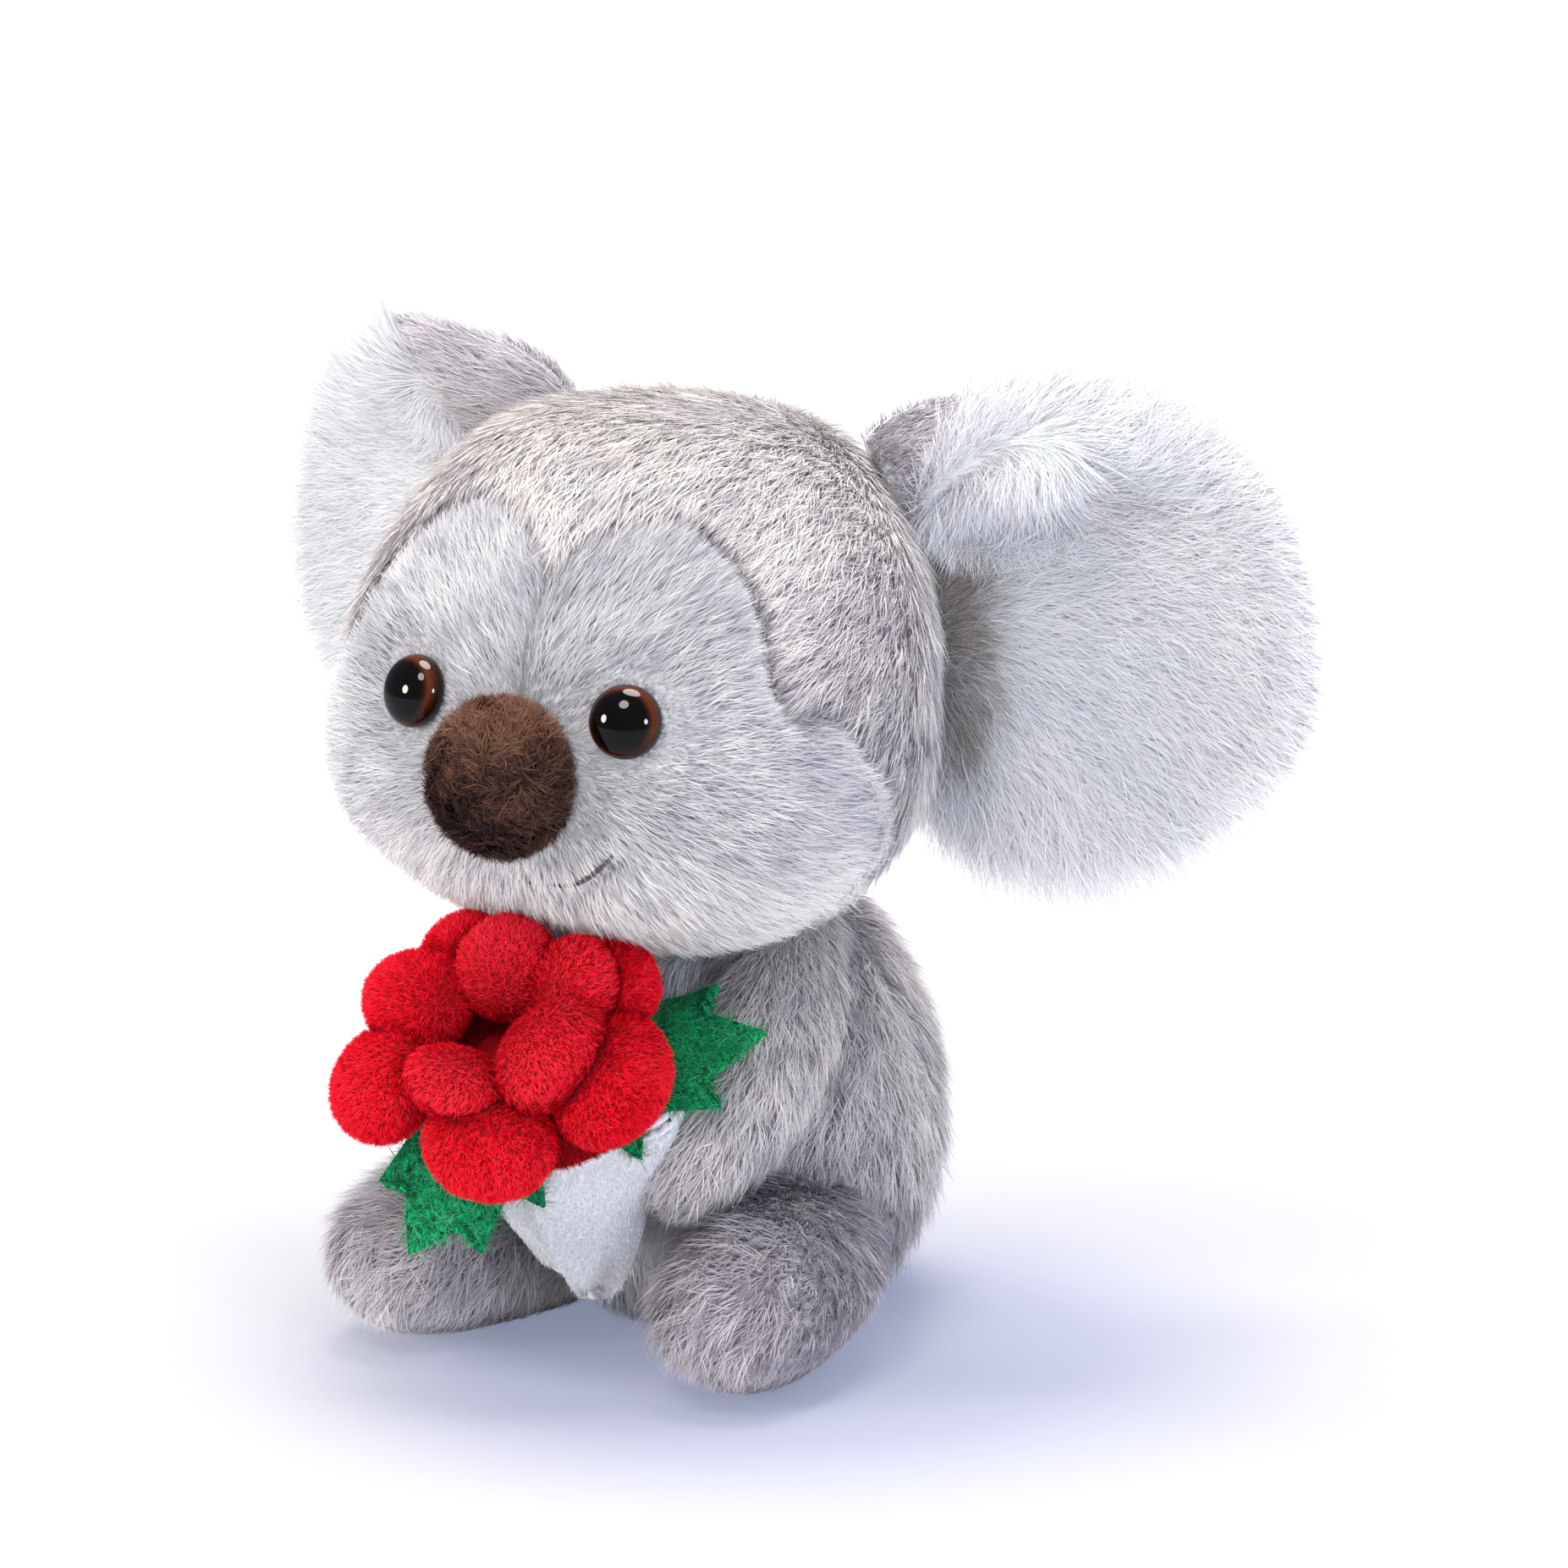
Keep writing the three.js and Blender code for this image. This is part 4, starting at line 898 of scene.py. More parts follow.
def eye_material():
    """A moulded eye: black pupil, a clear brown ring, lighter over a third of its round where light is
    painted on it, and a polished face.
    The map runs outwards from the middle of the eye and round it."""
    material, shader = new_material("polished_amber_eye_plastic", roughness=0.03, specular=0.4)
    outwards, round_it = map_parts(material, EYE_UV)
    rings = ramp(material, outwards, [
        (0.0, "#040303"), (0.72, "#050303"), (0.79, "#2a0f08"), (0.88, "#5a2a17"), (0.95, "#42200f"),
        (1.0, "#150805")])
    # Painted light: the ring is lit over a third of its round.
    light = ramp(material, round_it, [
        (0.0, "#6c6c6c"), (0.36, "#808080"), (0.5, "#ffffff"), (0.75, "#ffffff"), (0.9, "#7a7a7a"),
        (1.0, "#6c6c6c")])
    place = add(material, "ShaderNodeTexCoord").outputs["Object"]
    grain = noise_at(material, place, Scale=60.0, Detail=2.0)
    tint = ramp(material, grain, [(0.3, "#e8e8e8"), (0.7, "#ffffff")])
    both = multiply(material, multiply(material, rings, light), tint)
    link(material, both, shader.inputs["Base Color"])
    return material


def eye_profile():
    """Half the eye's outline as radii and heights: a stem, a flat back, a short rim and a dome."""
    dome = np.linspace(0, np.pi / 2, 22)
    r = [0.0, EYE["stem"], EYE["stem"], EYE["radius"] - EYE["round"], EYE["radius"]]
    z = [-EYE["stem_length"], -EYE["stem_length"], 0.0, 0.0, EYE["round"]]
    r = np.concatenate([r, EYE["radius"] * np.cos(dome)])
    z = np.concatenate([z, EYE["rim"] + (EYE["dome"] - EYE["rim"]) * np.sin(dome)])
    return r, z


def turned_grid(r, z, middle, axes, flip=False):
    """A profile of radii and heights turned about the third axis."""
    a = ring_angles(64)
    local = np.stack([r[:, None] * np.cos(a), r[:, None] * np.sin(a), z[:, None] + 0 * a], -1)
    return Grid(middle + local @ axes, closed=True, flip=flip)


def map_eye(mesh, middle, axes):
    """Gives the eye its map: u runs out from its middle and v runs round it."""
    co = np.empty(len(mesh.vertices) * 3, np.float32)
    mesh.vertices.foreach_get("co", co)
    local = (co.reshape(-1, 3) * 1000 + SHIFT - middle) @ axes.T
    corner = np.empty(len(mesh.loops), np.int32)
    mesh.loops.foreach_get("vertex_index", corner)
    u = np.hypot(local[:, 0], local[:, 1]) / EYE["radius"]
    v = np.arctan2(local[:, 1], local[:, 0]) / (2 * np.pi) + 0.5
    layer = mesh.uv_layers.new(name=EYE_UV)
    layer.data.foreach_set("uv", np.stack([u, v], 1)[corner].astype(np.float32).ravel())


def build_eyes():
    """Each eye is one moulding turned about its own axis."""
    material = eye_material()
    r, z = eye_profile()
    for side, (middle, axes) in eye_frames.items():
        obj = grid_object(f"eye_{side}_moulding", "head", material, turned_grid(r, z, middle, axes))
        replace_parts(obj, f"eye_{side}")
        map_eye(obj.data, middle, axes)


def ringed(path, x, y, radius, count):
    """A ring of points round each point of a path, on the axes x and y."""
    a = ring_angles(count)
    cos = np.cos(a)[None, :, None]
    sin = np.sin(a)[None, :, None]
    return path[:, None] + radius[:, None, None] * (x[:, None] * cos + y[:, None] * sin)


def tube_grid(path, radius, sides=12):
    """A round tube along a path; radius may change along it."""
    tangent = unit(np.gradient(path, axis=0))
    x = unit(np.cross(tangent, UP) + 1e-9)
    rings = ringed(path, x, np.cross(tangent, x), np.broadcast_to(radius, (len(path),)), sides)
    start = np.repeat(path[:1][:, None], sides, 1)
    end = np.repeat(path[-1:][:, None], sides, 1)
    return Grid(np.concatenate([start, rings, end]), closed=True)


def build_mouth():
    """One fine thread along the smile, deep in the pile on the far half and higher on the near one."""
    thread = cloth_material("dark_mouth_thread", "#33282a", "#52464a", size=0.3, bump=0.5)
    s = np.linspace(-1, 1, 240)
    path = smile(s, 0.75)
    path = path + unit(path - HEAD_CENTRE) * (1.2 * step(s, 0.1, 0.8) - 0.7)[:, None]
    radius = 0.24 + 0.14 * step(s, 0.2, 0.6) - 0.12 * step(s, 0.8, 1.0)
    obj = grid_object("mouth_thread", "head", thread, tube_grid(path, radius))
    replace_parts(obj, "mouth_stitch")


# The ears.

EAR_OUT = [0.85, 0.8, 0.62, 0.3, -0.02, -0.36, -0.8, -1.05, -1.06, -1.0, -0.86, -0.66, -0.28, 0.2, 0.6, 0.8]
EAR_UP = [-0.05, 0.3, 0.7, 0.94, 1.03, 1.02, 0.94, 0.7, 0.25, -0.2, -0.52, -0.78, -0.92, -0.86, -0.6, -0.32]
EAR_SPAN = 33.4
EAR_MIDDLE = np.array([52.7, 11.0, 99.9])
EAR_SWEEP = math.radians(20)
EAR_AXES = np.array([[math.cos(EAR_SWEEP), math.sin(EAR_SWEEP), 0], [0, 0, 1],
                     [math.sin(EAR_SWEEP), -math.cos(EAR_SWEEP), 0]])
# What differs from ear to ear: where the folded upper edge runs, in degrees, and how high it stands, where
# the white side begins at the upper corner, as heights and places across in spans, and the pile there.
EARS = {
    "left": dict(lip_from=(25, 115), lip_to=(152, 170), lip_high=6.5, top=2.0, rim_light=0.15,
                 corner_line=([0.4, 0.56, 0.82, 1.0, 1.2], [-0.85, -0.74, -0.62, -0.53, -0.45]),
                 corner_pile=3.4, corner_lift=0.3, corner_tone=-0.2, corner_cut=2.8),
    "right": dict(lip_from=(15, 70), lip_to=(120, 150), lip_high=2.5, top=2.8, rim_light=0.0,
                  corner_line=([0.5, 0.64, 0.74, 0.85, 0.96, 1.05], [-0.5, -0.37, -0.34, -0.24, -0.03, 0.2]),
                  corner_pile=4.6, corner_lift=0.55, corner_tone=-0.06, corner_cut=1.0),
}


def round_table(place, values):
    """A closed smooth curve through evenly spaced values."""
    v = np.asarray(values)
    n = len(v)
    i = np.floor(place).astype(int) % n
    t = place - np.floor(place)
    a, b, c, d = v[(i - 1) % n], v[i], v[(i + 1) % n], v[(i + 2) % n]
    return 0.5 * (2 * b + (c - a) * t + (2 * a - 5 * b + 4 * c - d) * t**2 + (3 * b - a - 3 * c + d) * t**3)


def ear_point(rim, turn, face, mirror):
    """A dish: rim runs from its middle to its edge and turn goes round it; the edge bends forward,
    most of all at the upper corner near the head. face is 1 on the white side and -1 on the back."""
    place = turn / (2 * np.pi) * len(EAR_OUT)
    x = EAR_SPAN * rim * round_table(place, EAR_OUT)
    y = EAR_SPAN * rim * round_table(place, EAR_UP)
    outer = step(x / EAR_SPAN, -0.85, 0.2)
    corner = step(y / EAR_SPAN, 0.1, 0.8) * (1 - step(x / EAR_SPAN, -0.4, 0.5))
    bend = (6.5 * outer + 5 * corner) * rim**2
    past = np.maximum(0, (rim - 0.9) / 0.1)
    half = (1.3 + 2.3 * (1 - rim**2)) * np.sqrt(np.maximum(0, 1 - past**2) * 0.999 + 0.001)
    local = np.stack([x, y, bend + face * half], -1)
    return place_head(to_side(EAR_MIDDLE + local @ EAR_AXES, mirror))


def ear_reach(mirror):
    """How far out each spoke of the ear goes before it meets the head, which the ear folds against."""
    turn = np.linspace(0, 2 * np.pi, 97)[:-1]
    rim = np.linspace(0, 1, 81)
    p = ear_point(rim[:, None], turn[None, :], 0.0, mirror)
    inside = head_ratio(p, 1.2) < 1
    first = np.where(inside.any(0), inside.argmax(0), len(rim) - 1)
    return turn, np.maximum(rim[first], 0.2)


def ear_grids(side, mirror):
    """The ear's white front, whose folded upper edge stands up over the hollow, and its grey back."""
    turn, reach = ear_reach(mirror)
    rim = np.linspace(0, 1, 34) ** 0.8
    share = rim[:, None] * reach[None, :]
    front = ear_point(share, turn[None, :], 1.0, mirror)
    back = ear_point(share, turn[None, :], -1.0, mirror)
    d = np.degrees(turn[None, :])
    ear = EARS[side]
    along = step(d, *ear["lip_from"]) * (1 - step(d, *ear["lip_to"]))
    lip = ear["lip_high"] * along * hump(share - 0.76, 0.18) * (1 - step(rim, 0.9, 1.0))[:, None]
    front = front + to_side(EAR_AXES[2], mirror) * lip[..., None]
    return Grid(front, closed=True, flip=mirror > 0), Grid(back, closed=True, flip=mirror < 0)


def ear_body(side, mirror):
    """The head and the ear's own body, and points 2 mm inside and 9 mm outside the ear's fold seam."""
    seam = next(np.array(j["pos_m"]) for j in frame["joints"] if j["name"] == f"ear_{side}_fold")
    outwards = to_side(EAR_AXES[0], mirror)
    return "head", f"ear_{side}", seam - 0.002 * outwards, seam + 0.009 * outwards


def build_ear(side, mirror):
    """Two skins and three piles: white in front, and grey behind and on the corner that folds over."""
    ear = EARS[side]
    front, back = ear_grids(side, mirror)
    body = ear_body(side, mirror)
    root = place_head(to_side(EAR_MIDDLE + np.array([-27.5, -6.0, 0.0]) @ EAR_AXES, mirror))

    def in_ear(p):
        """Where points lie across and up the ear, in millimetres and in spans."""
        local = ((to_side(p, mirror) - EAR_MIDDLE) @ EAR_AXES.T)[:, :2]
        return local, local[:, 0] / EAR_SPAN, local[:, 1] / EAR_SPAN

    def rim_share(local):
        return np.hypot(local[:, 0], local[:, 1]) / EAR_SPAN

    def corner(p):
        """1 where the ear's upper corner folds over and its grey back shows, 0 on the white side."""
        _, u, v = in_ear(p)
        line = np.interp(v, *ear["corner_line"])
        return 1 - step(u - line + 0.03 * (noise(p, 2.5, 47) - 0.5), -0.02, 0.01)

    def outside_head(p):
        return (head_ratio(p, 0.3) > 1) * 1.0

    def white_length(p):
        """Longest on the outer and upper rim, and long at the bottom."""
        local, u, v = in_ear(p)
        longer = (3.0 + ear["top"] * step(v, 0.1, 0.6)) * step(u, -0.7, -0.1)
        return 5.0 + longer * step(rim_share(local), 0.66, 0.98) + 3.0 * step(-local[:, 1], 10, 28)

    def white_flow(p, n):
        """Outwards from the root; the fold at the upper corner spills down over the hollow instead."""
        _, u, v = in_ear(p)
        away = unit(p - root)
        out = away + UP * (0.45 * step(v, 0.1, 0.7) - 0.35)[:, None]
        fold = (step(v, 0.25, 0.5) * (1 - step(u, -0.6, 0.4)))[:, None]
        fold = fold * (1 - step(np.hypot(u, v), 0.78, 0.98))[:, None]
        return out * (1 - fold) + (-0.3 * away + np.array([0, -0.2, -1.0])) * fold

    def white_painted_shading(p):
        """Painted shade: the hollow beside the head is dimmer and warmer, and so is the fold over it. Painted
        light: the outer rim is lighter by the ear's rim_light.
        """
        local, u, v = in_ear(p)
        hollow = (1 - step(u, -0.62, -0.3)) * (1 - step(v, 0.2, 0.45)) * step(v, -0.8, -0.4)
        fold = step(v, 0.25, 0.5) * (1 - step(u, -0.6, 0.4))
        return 0.3 - 0.85 * hollow - 0.4 * fold + ear["rim_light"] * step(rim_share(local), 0.6, 1.0)

    def white_keep(p):
        return outside_head(p) * (1 - corner(p))

    def corner_flow(p, n):
        return np.array([mirror * 1.0, 0, 0.35])

    def corner_keep(p):
        return outside_head(p) * corner(p)

    def back_flow(p, n):
        return unit(p - root) - 0.35 * UP

    def back_length(p):
        local, _, _ = in_ear(p)
        return 4.5 - ear["corner_cut"] * corner(p) * step(rim_share(local), 0.75, 0.95)

    def back_keep(p):
        """Thin on the rim, where the white pile covers it, but not at the corner."""
        local, _, _ = in_ear(p)
        return outside_head(p) * (1 - 0.9 * step(rim_share(local), 0.93, 0.99) * (1 - corner(p)))

    name = f"ear_{side}"
    stuffed(f"{name}_white_skin", body, white_cloth, front, f"{name}_front", 0.8)
    stuffed(f"{name}_grey_skin", body, grey_cloth, back, f"{name}_back", 0.8)
    fur(f"{name}_white_pile", body, white_pile, front, 12.3, white_length, white_flow, 41 + mirror, lift=0.5,
        clump=1.1, pull=0.4, keep=white_keep, sag=0.08, width=0.1, tone=white_painted_shading, wander=0.36, spread=0.7)
    fur(f"{name}_corner_pile", body, grey_pile, front, 11, ear["corner_pile"], corner_flow, 43 + mirror,
        lift=ear["corner_lift"], keep=corner_keep, tone=ear["corner_tone"])
    fur(f"{name}_grey_pile", body, grey_pile, back, 4.9, back_length, back_flow, 45 + mirror, lift=0.4,
        keep=back_keep)


# The body, legs and arms.

def body_at(level, angle, out=0.0):
    p = form_point(BODY, level, angle, out)
    p[..., 2] = np.clip(p[..., 2], 0.0, NECK_Z - 0.15)
    return p


def spine_curve(points, count=200):
    """A smooth curve through a few points, sampled at even steps along it."""
    pts = [2 * points[0] - points[1], *points, 2 * points[-1] - points[-2]]
    out = []
    for a, b, c, d in zip(pts, pts[1:], pts[2:], pts[3:]):
        t01, t12, t23 = [max(np.linalg.norm(q - p), 1e-4) ** 0.5 for p, q in ((a, b), (b, c), (c, d))]
        m1 = (b - a) / t01 - (c - a) / (t01 + t12) + (c - b) / t12
        m2 = (c - b) / t12 - (d - b) / (t12 + t23) + (d - c) / t23
        m1 = m1 * t12
        m2 = m2 * t12
        t = np.linspace(0, 1, 60, endpoint=False)[:, None]
        late = 3 * t**2 - 2 * t**3
        out.append(b * (1 - late) + c * late + m1 * (t**3 - 2 * t**2 + t) + m2 * (t**3 - t**2))
    path = np.concatenate([*out, points[-1][None]])
    length = np.concatenate([[0], np.cumsum(np.linalg.norm(np.diff(path, axis=0), axis=1))])
    even = np.linspace(0, length[-1], count)
    return np.stack([np.interp(even, length, path[:, k]) for k in range(3)], 1)


def limb_grid(spine, half, out=0.0, count=56):
    """A tapering limb, rounded at both ends: its radius falls off as a low power towards each end."""
    path = spine_curve(spine)
    tangent = unit(np.gradient(path, axis=0))
    part = (1 - np.cos(np.pi * np.linspace(0, 1, count))) / 2
    even = np.linspace(0, 1, len(path))
    at = np.stack([np.interp(part, even, path[:, k]) for k in range(3)], 1)
    along = unit(np.stack([np.interp(part, even, tangent[:, k]) for k in range(3)], 1))
    at = at - along * (out * (1 - 2 * part))[:, None]
    side = unit(np.cross(UP, along))
    start, end = half
    radius = (start + (end - start) * part + out) * np.maximum(0, 1 - (2 * part - 1) ** 2) ** 0.3
    return ringed(at, side, np.cross(along, side), radius, count), path, tangent


LEG_HALF = (12.2, 11.9)
ARM_HALF = (7.8, 7.8)
LEG_SPINE = [(14.0, -3, 11.7), (23.5, -27, 11.7), (28.6, -51.5, 11.4)]
ARM_SPINE = [(13.5, -8, 61.5), (18.6, -19, 50), (19.4, -29.5, 39.4), (14.4, -41, 27.5)]


def mirrored(spine, mirror):
    return [np.array([mirror * x, y, z], float) for x, y, z in spine]


LIMB_PATHS = [(spine_curve(mirrored(spine, mirror)), radius)
              for spine, radius in ((LEG_SPINE, 11.0), (ARM_SPINE, 6.8)) for _, mirror in SIDES]


def build_body():
    """The grey back and seat and the white belly, which meet on two side seams, and the filling."""
    front_side = math.radians(46)
    across_front = np.linspace(-front_side, front_side, 41)[None, :]
    back_angle = np.linspace(front_side, 2 * np.pi - front_side, 91)[None, :]
    back = Grid(body_at(pole_levels(72)[:, None], back_angle))
    low = Grid(body_at(np.linspace(-1, -0.9, 8)[:, None], np.linspace(-front_side, front_side, 31)[None, :]))
    belly = Grid(body_at(np.linspace(-0.9, 0.985, 60)[:, None], across_front))
    stuffed("body_skin", "torso", grey_cloth, [back, low], "body_back_panel", SKIN)
    stuffed("belly_skin", "torso", white_cloth, belly, "belly_panel", SKIN)
    inner = form_grid(BODY, 40, 60, -2.6)
    inner[..., 2] = np.clip(inner[..., 2], 1.6, NECK_Z - 2)
    stuffed("body_filling", "torso", filling, Grid(inner, closed=True), "body_stuffing")

    def shown(p):
        ok = (head_ratio(p, 1.0) > 1) & (p[:, 2] > 0.4)
        for path, radius in LIMB_PATHS:
            ok &= distance_to(p, path) > radius
        return ok

    def from_limbs(p):
        """How far each root is from the nearest arm or leg."""
        return np.min([distance_to(p, path) - radius - 1 for path, radius in LIMB_PATHS], axis=0)

    def flow(p, n):
        return np.tile(np.array([0.0, -0.35, -1.0]), (len(p), 1)) + 0.25 * (noise(p, 12, 5)[:, None] - 0.5)

    def tone(p):
        """Lighter towards the neck, and darker beside the limbs, painted shade where they meet the body."""
        return 0.15 * step(p[:, 2], 35, 58) + 0.14 - 0.5 * fading(from_limbs(p), 3.5)

    def length(p):
        return 7.4 * (0.35 + 0.65 * step(from_limbs(p), 0, 7))

    def belly_length(p):
        return 5.5 + 2.5 * (1 - step(p[:, 2], 8, 16))

    fur("body_pile", "torso", grey_pile, back, 6.3, length, flow, 51, lift=0.55, keep=shown, floor=True,
        clump=1.4, wander=0.28, clump_wander=0.6, tone=tone, pull=0.9)
    fur("belly_pile", "torso", white_pile, [belly, low], 6.5, belly_length, flow, 53, lift=0.6, keep=shown,
        floor=True, tone=0.3)


def build_leg(side, mirror):
    """A leg lying on the floor, flat underneath, and the filling inside it."""
    spine = mirrored(LEG_SPINE, mirror)
    p, path, tangent = limb_grid(spine, LEG_HALF)
    p[..., 2] = np.maximum(p[..., 2], 0.0)
    grid = Grid(p, closed=True)
    stuffed(f"leg_{side}_skin", "torso", grey_cloth, grid, f"leg_{side}")
    inner, _, _ = limb_grid(spine, LEG_HALF, -2.2, 30)
    inner[..., 2] = np.maximum(inner[..., 2], 1.6)
    stuffed(f"leg_{side}_filling", "torso", filling, Grid(inner, closed=True), f"leg_{side}_stuffing")
    arm_path = spine_curve(mirrored(ARM_SPINE, mirror))

    def shown(p):
        return (form_ratio(BODY, p, 0.5) > 1) & (p[:, 2] > 0.3)

    def flow(p, n):
        _, k = nearest_on(p, path)
        hang = 0.75 + 2.0 * (1 - step(p[:, 2], 5, 11))
        return tangent[k] * 0.9 - UP * hang[:, None] + 1.4 * swirls(p, 10, (81, 82, 83))

    def tone(p):
        """Painted shade: darker where the leg meets the body and under the paw, and the left leg, which lies
        in the shade, darker than the right.
        """
        # Painted shade under the paw and where the leg meets the body.
        paw = fading(distance_to(p, arm_path) - ARM_HALF[0], 3.0)
        body = fading(form_ratio(BODY, p) - 1, 0.06)
        return 0.02 - 0.25 * (mirror > 0) - 0.3 * body - 0.3 * paw

    def length(p):
        """Short where the foot meets the floor, and on the leg's outer side."""
        _, k = nearest_on(p, path)
        outer = step((p - path[k])[:, 0] * mirror, 3, 10)
        return (2.4 + 4.4 * step(p[:, 2], 4, 14)) * (1 - 0.35 * outer)

    def lift(p):
        return 0.16 + 0.34 * step(p[:, 2], 4, 13)

    fur(f"leg_{side}_pile", "torso", grey_pile, grid, 7.5, length, flow, 61 + mirror, lift=lift, tone=tone,
        keep=shown, floor=True, clump=1.4, wander=0.3, clump_wander=0.6, pull=0.9)


def build_arm(side, mirror):
    """An arm whose paw lies against the wrapper, and the filling inside it."""
    spine = mirrored(ARM_SPINE, mirror)
    p, path, tangent = limb_grid(spine, ARM_HALF)
    grid = Grid(outside_wrapper(p.reshape(-1, 3), 0.6).reshape(p.shape), closed=True)
    stuffed(f"arm_{side}_skin", "torso", grey_cloth, grid, f"arm_{side}")
    inner, _, _ = limb_grid(spine, ARM_HALF, -2.0, 30)
    inner = Grid(outside_wrapper(inner.reshape(-1, 3), 2.2).reshape(inner.shape), closed=True)
    stuffed(f"arm_{side}_filling", "torso", filling, inner, f"arm_{side}_stuffing")

    def shown(p):
        part, ratio, _ = wrapper_place(p)
        off_wrapper = (ratio > 1.06) | (part < 0)
        return (form_ratio(BODY, p, 0.5) > 1) & (head_ratio(p, 0.8) > 1) & off_wrapper

    def flow(p, n):
        _, k = nearest_on(p, path)
        return tangent[k] + np.array([0, 0.1, -0.35])

    fur(f"arm_{side}_pile", "torso", grey_pile, grid, 8.3, 5.6, flow, 71 + mirror, lift=0.5, keep=shown,
        clump=1.1, wander=0.25, clump_wander=0.4, tone=0.2)


# The bouquet.

FLOWER = np.array([-3.6, -53.0, 47.3])
TILT = math.radians(46)
TURN = math.radians(12)
FLOWER_AXES = np.array([
    [math.cos(TURN), math.sin(TURN), 0],
    [-math.sin(TILT) * math.sin(TURN), math.sin(TILT) * math.cos(TURN), math.cos(TILT)],
    [math.cos(TILT) * math.sin(TURN), -math.cos(TILT) * math.cos(TURN), math.sin(TILT)],
])
FLOWER_R = 18.0
WRAP = dict(drop=7.0, radius=19.4, aside=3.2, tip_radius=4.0, flat=0.65)
WRAP_TIP = np.array([-1.9, -37.5, 12.5])


def in_flower(p):
    """Points seen from the flower: across it, up it and out of its face."""
    return (p - FLOWER) @ FLOWER_AXES.T


def from_flower(local):
    return FLOWER + local @ FLOWER_AXES


def wrapper_axes(part, inset=0.0):
    """The wrapper's middle and its two half axes at each part of its length, without the folds."""
    part = np.asarray(part, float)[..., None]
    radius = WRAP["radius"] + (WRAP["tip_radius"] - WRAP["radius"]) * part - inset
    rim = from_flower(np.array([WRAP["aside"], 0, -WRAP["drop"]]))
    middle = rim + (WRAP_TIP - rim) * part
    a = radius * (FLOWER_AXES[0] * (1 - part) + np.array([1.0, 0, 0]) * part)
    b = radius * (FLOWER_AXES[1] * WRAP["flat"] * (1 - part) + np.array([0, math.sin(TILT), 0]) * part)
    return middle, a, b


def wrapper_folds(part, angle):
    """Five soft folds round the wrapper, as a share of its radius, that die out towards its tip."""
    return 1 + 0.045 * np.cos(5 * angle + 1) * (1 - part)


def wrapper_point(part, angle, inset=0.0, ruffle=0.0):
    """The wrapper's cone of cloth, with its folds."""
    middle, a, b = wrapper_axes(part, inset)
    fold = (wrapper_folds(part, angle) + ruffle)[..., None]
    return middle + fold * (a * np.cos(angle)[..., None] + b * np.sin(angle)[..., None])


def wrapper_place(p):
    """Where points lie in the wrapper: part along it, distance from its middle as a share, and angle.
    A point with no place along it gets -9 and 9."""
    parts = np.linspace(-0.3, 1.1, 57)
    middle, a, b = wrapper_axes(parts)
    side = np.einsum("pkc,kc->pk", p[:, None] - middle[None], np.cross(a, b))
    crossing = side[:, :-1] * side[:, 1:] <= 0
    found = crossing.any(1)
    k = crossing.argmax(1)
    before = side[np.arange(len(p)), k]
    change = before - side[np.arange(len(p)), k + 1]
    t = np.where(found, before / np.where(change == 0, 1, change), 0)
    part = np.where(found, parts[k] + (parts[1] - parts[0]) * t, -9)
    middle, a, b = wrapper_axes(np.where(found, part, 0))
    v = p - middle
    aa = (a * a).sum(1)
    bb = (b * b).sum(1)
    ab = (a * b).sum(1)
    va = (v * a).sum(1)
    vb = (v * b).sum(1)
    det = aa * bb - ab * ab
    x = (va * bb - vb * ab) / det
    y = (vb * aa - va * ab) / det
    return part, np.where(found, np.hypot(x, y), 9.0), np.arctan2(y, x)


def outside_wrapper(p, gap):
    """Points inside the wrapper move straight out of it."""
    part, ratio, angle = wrapper_place(p)
    within = (part > -0.05) & (part < 1.0) & (ratio < 1.1)
    middle, a, b = wrapper_axes(np.clip(part, 0, 1))
    want = wrapper_folds(part, angle) + gap / np.maximum(1, np.linalg.norm(a, axis=1))
    edge = middle + (want * np.cos(angle))[:, None] * a + (want * np.sin(angle))[:, None] * b
    return np.where((within & (ratio < want))[:, None], edge, p)


# The first six are the outer petals and the last four the inner ones. Turns and tilts are in degrees and
# the rest in flower radii.
PETALS = dict(
    turns=[-83, -153, 162, 122, 42, -14, -108, -27, 36, 95], tilts=[32, 28, 8, 5, 8, 30, -30, -38, -35, -35],
    reach=[0.86, 0.95, 0.76, 0.86, 0.92, 0.94, 0.56, 0.6, 0.68, 0.52],
    height=[0.04, 0.05, 0.2, 0.12, 0.1, 0.05, 0.36, 0.42, 0.36, 0.3],
    wide=[0.47, 0.42, 0.37, 0.36, 0.42, 0.52, 0.41, 0.45, 0.35, 0.37],
    long=[0.4, 0.42, 0.36, 0.32, 0.34, 0.4, 0.3, 0.33, 0.34, 0.36],
    thick=[0.3, 0.31, 0.31, 0.26, 0.27, 0.31, 0.24, 0.25, 0.25, 0.26],
)
OUTER = 6
# How much fuller than its solid each petal is, in millimetres, across, along and through.
PETAL_FULLER = (0.6, 0.5, 0.8)
PETAL_OWN_FULLER = {2: (0.9, 1.1, 0.8), 6: (0.2, 0.2, 0.4), 7: (0.2, -0.2, 2.0), 8: (0.2, 0.2, 0.6),
                    9: (0.9, 0.8, 0.6)}


def petal_frame(i):
    """A petal's middle and axes: across, outwards and through its thickness."""
    turn = math.radians(PETALS["turns"][i])
    tilt = -math.radians(PETALS["tilts"][i])
    reach = FLOWER_R * PETALS["reach"][i]
    height = FLOWER_R * PETALS["height"][i]
    z = turn - math.pi / 2
    x = np.array([math.cos(z), math.sin(z), 0])
    out = np.array([-math.sin(z), math.cos(z), 0])
    y = out * math.cos(tilt) + UP * math.sin(tilt)
    w = -out * math.sin(tilt) + UP * math.cos(tilt)
    middle = from_flower(np.array([reach * math.cos(turn), reach * math.sin(turn), height]))
    return middle, np.stack([x, y, w]) @ FLOWER_AXES


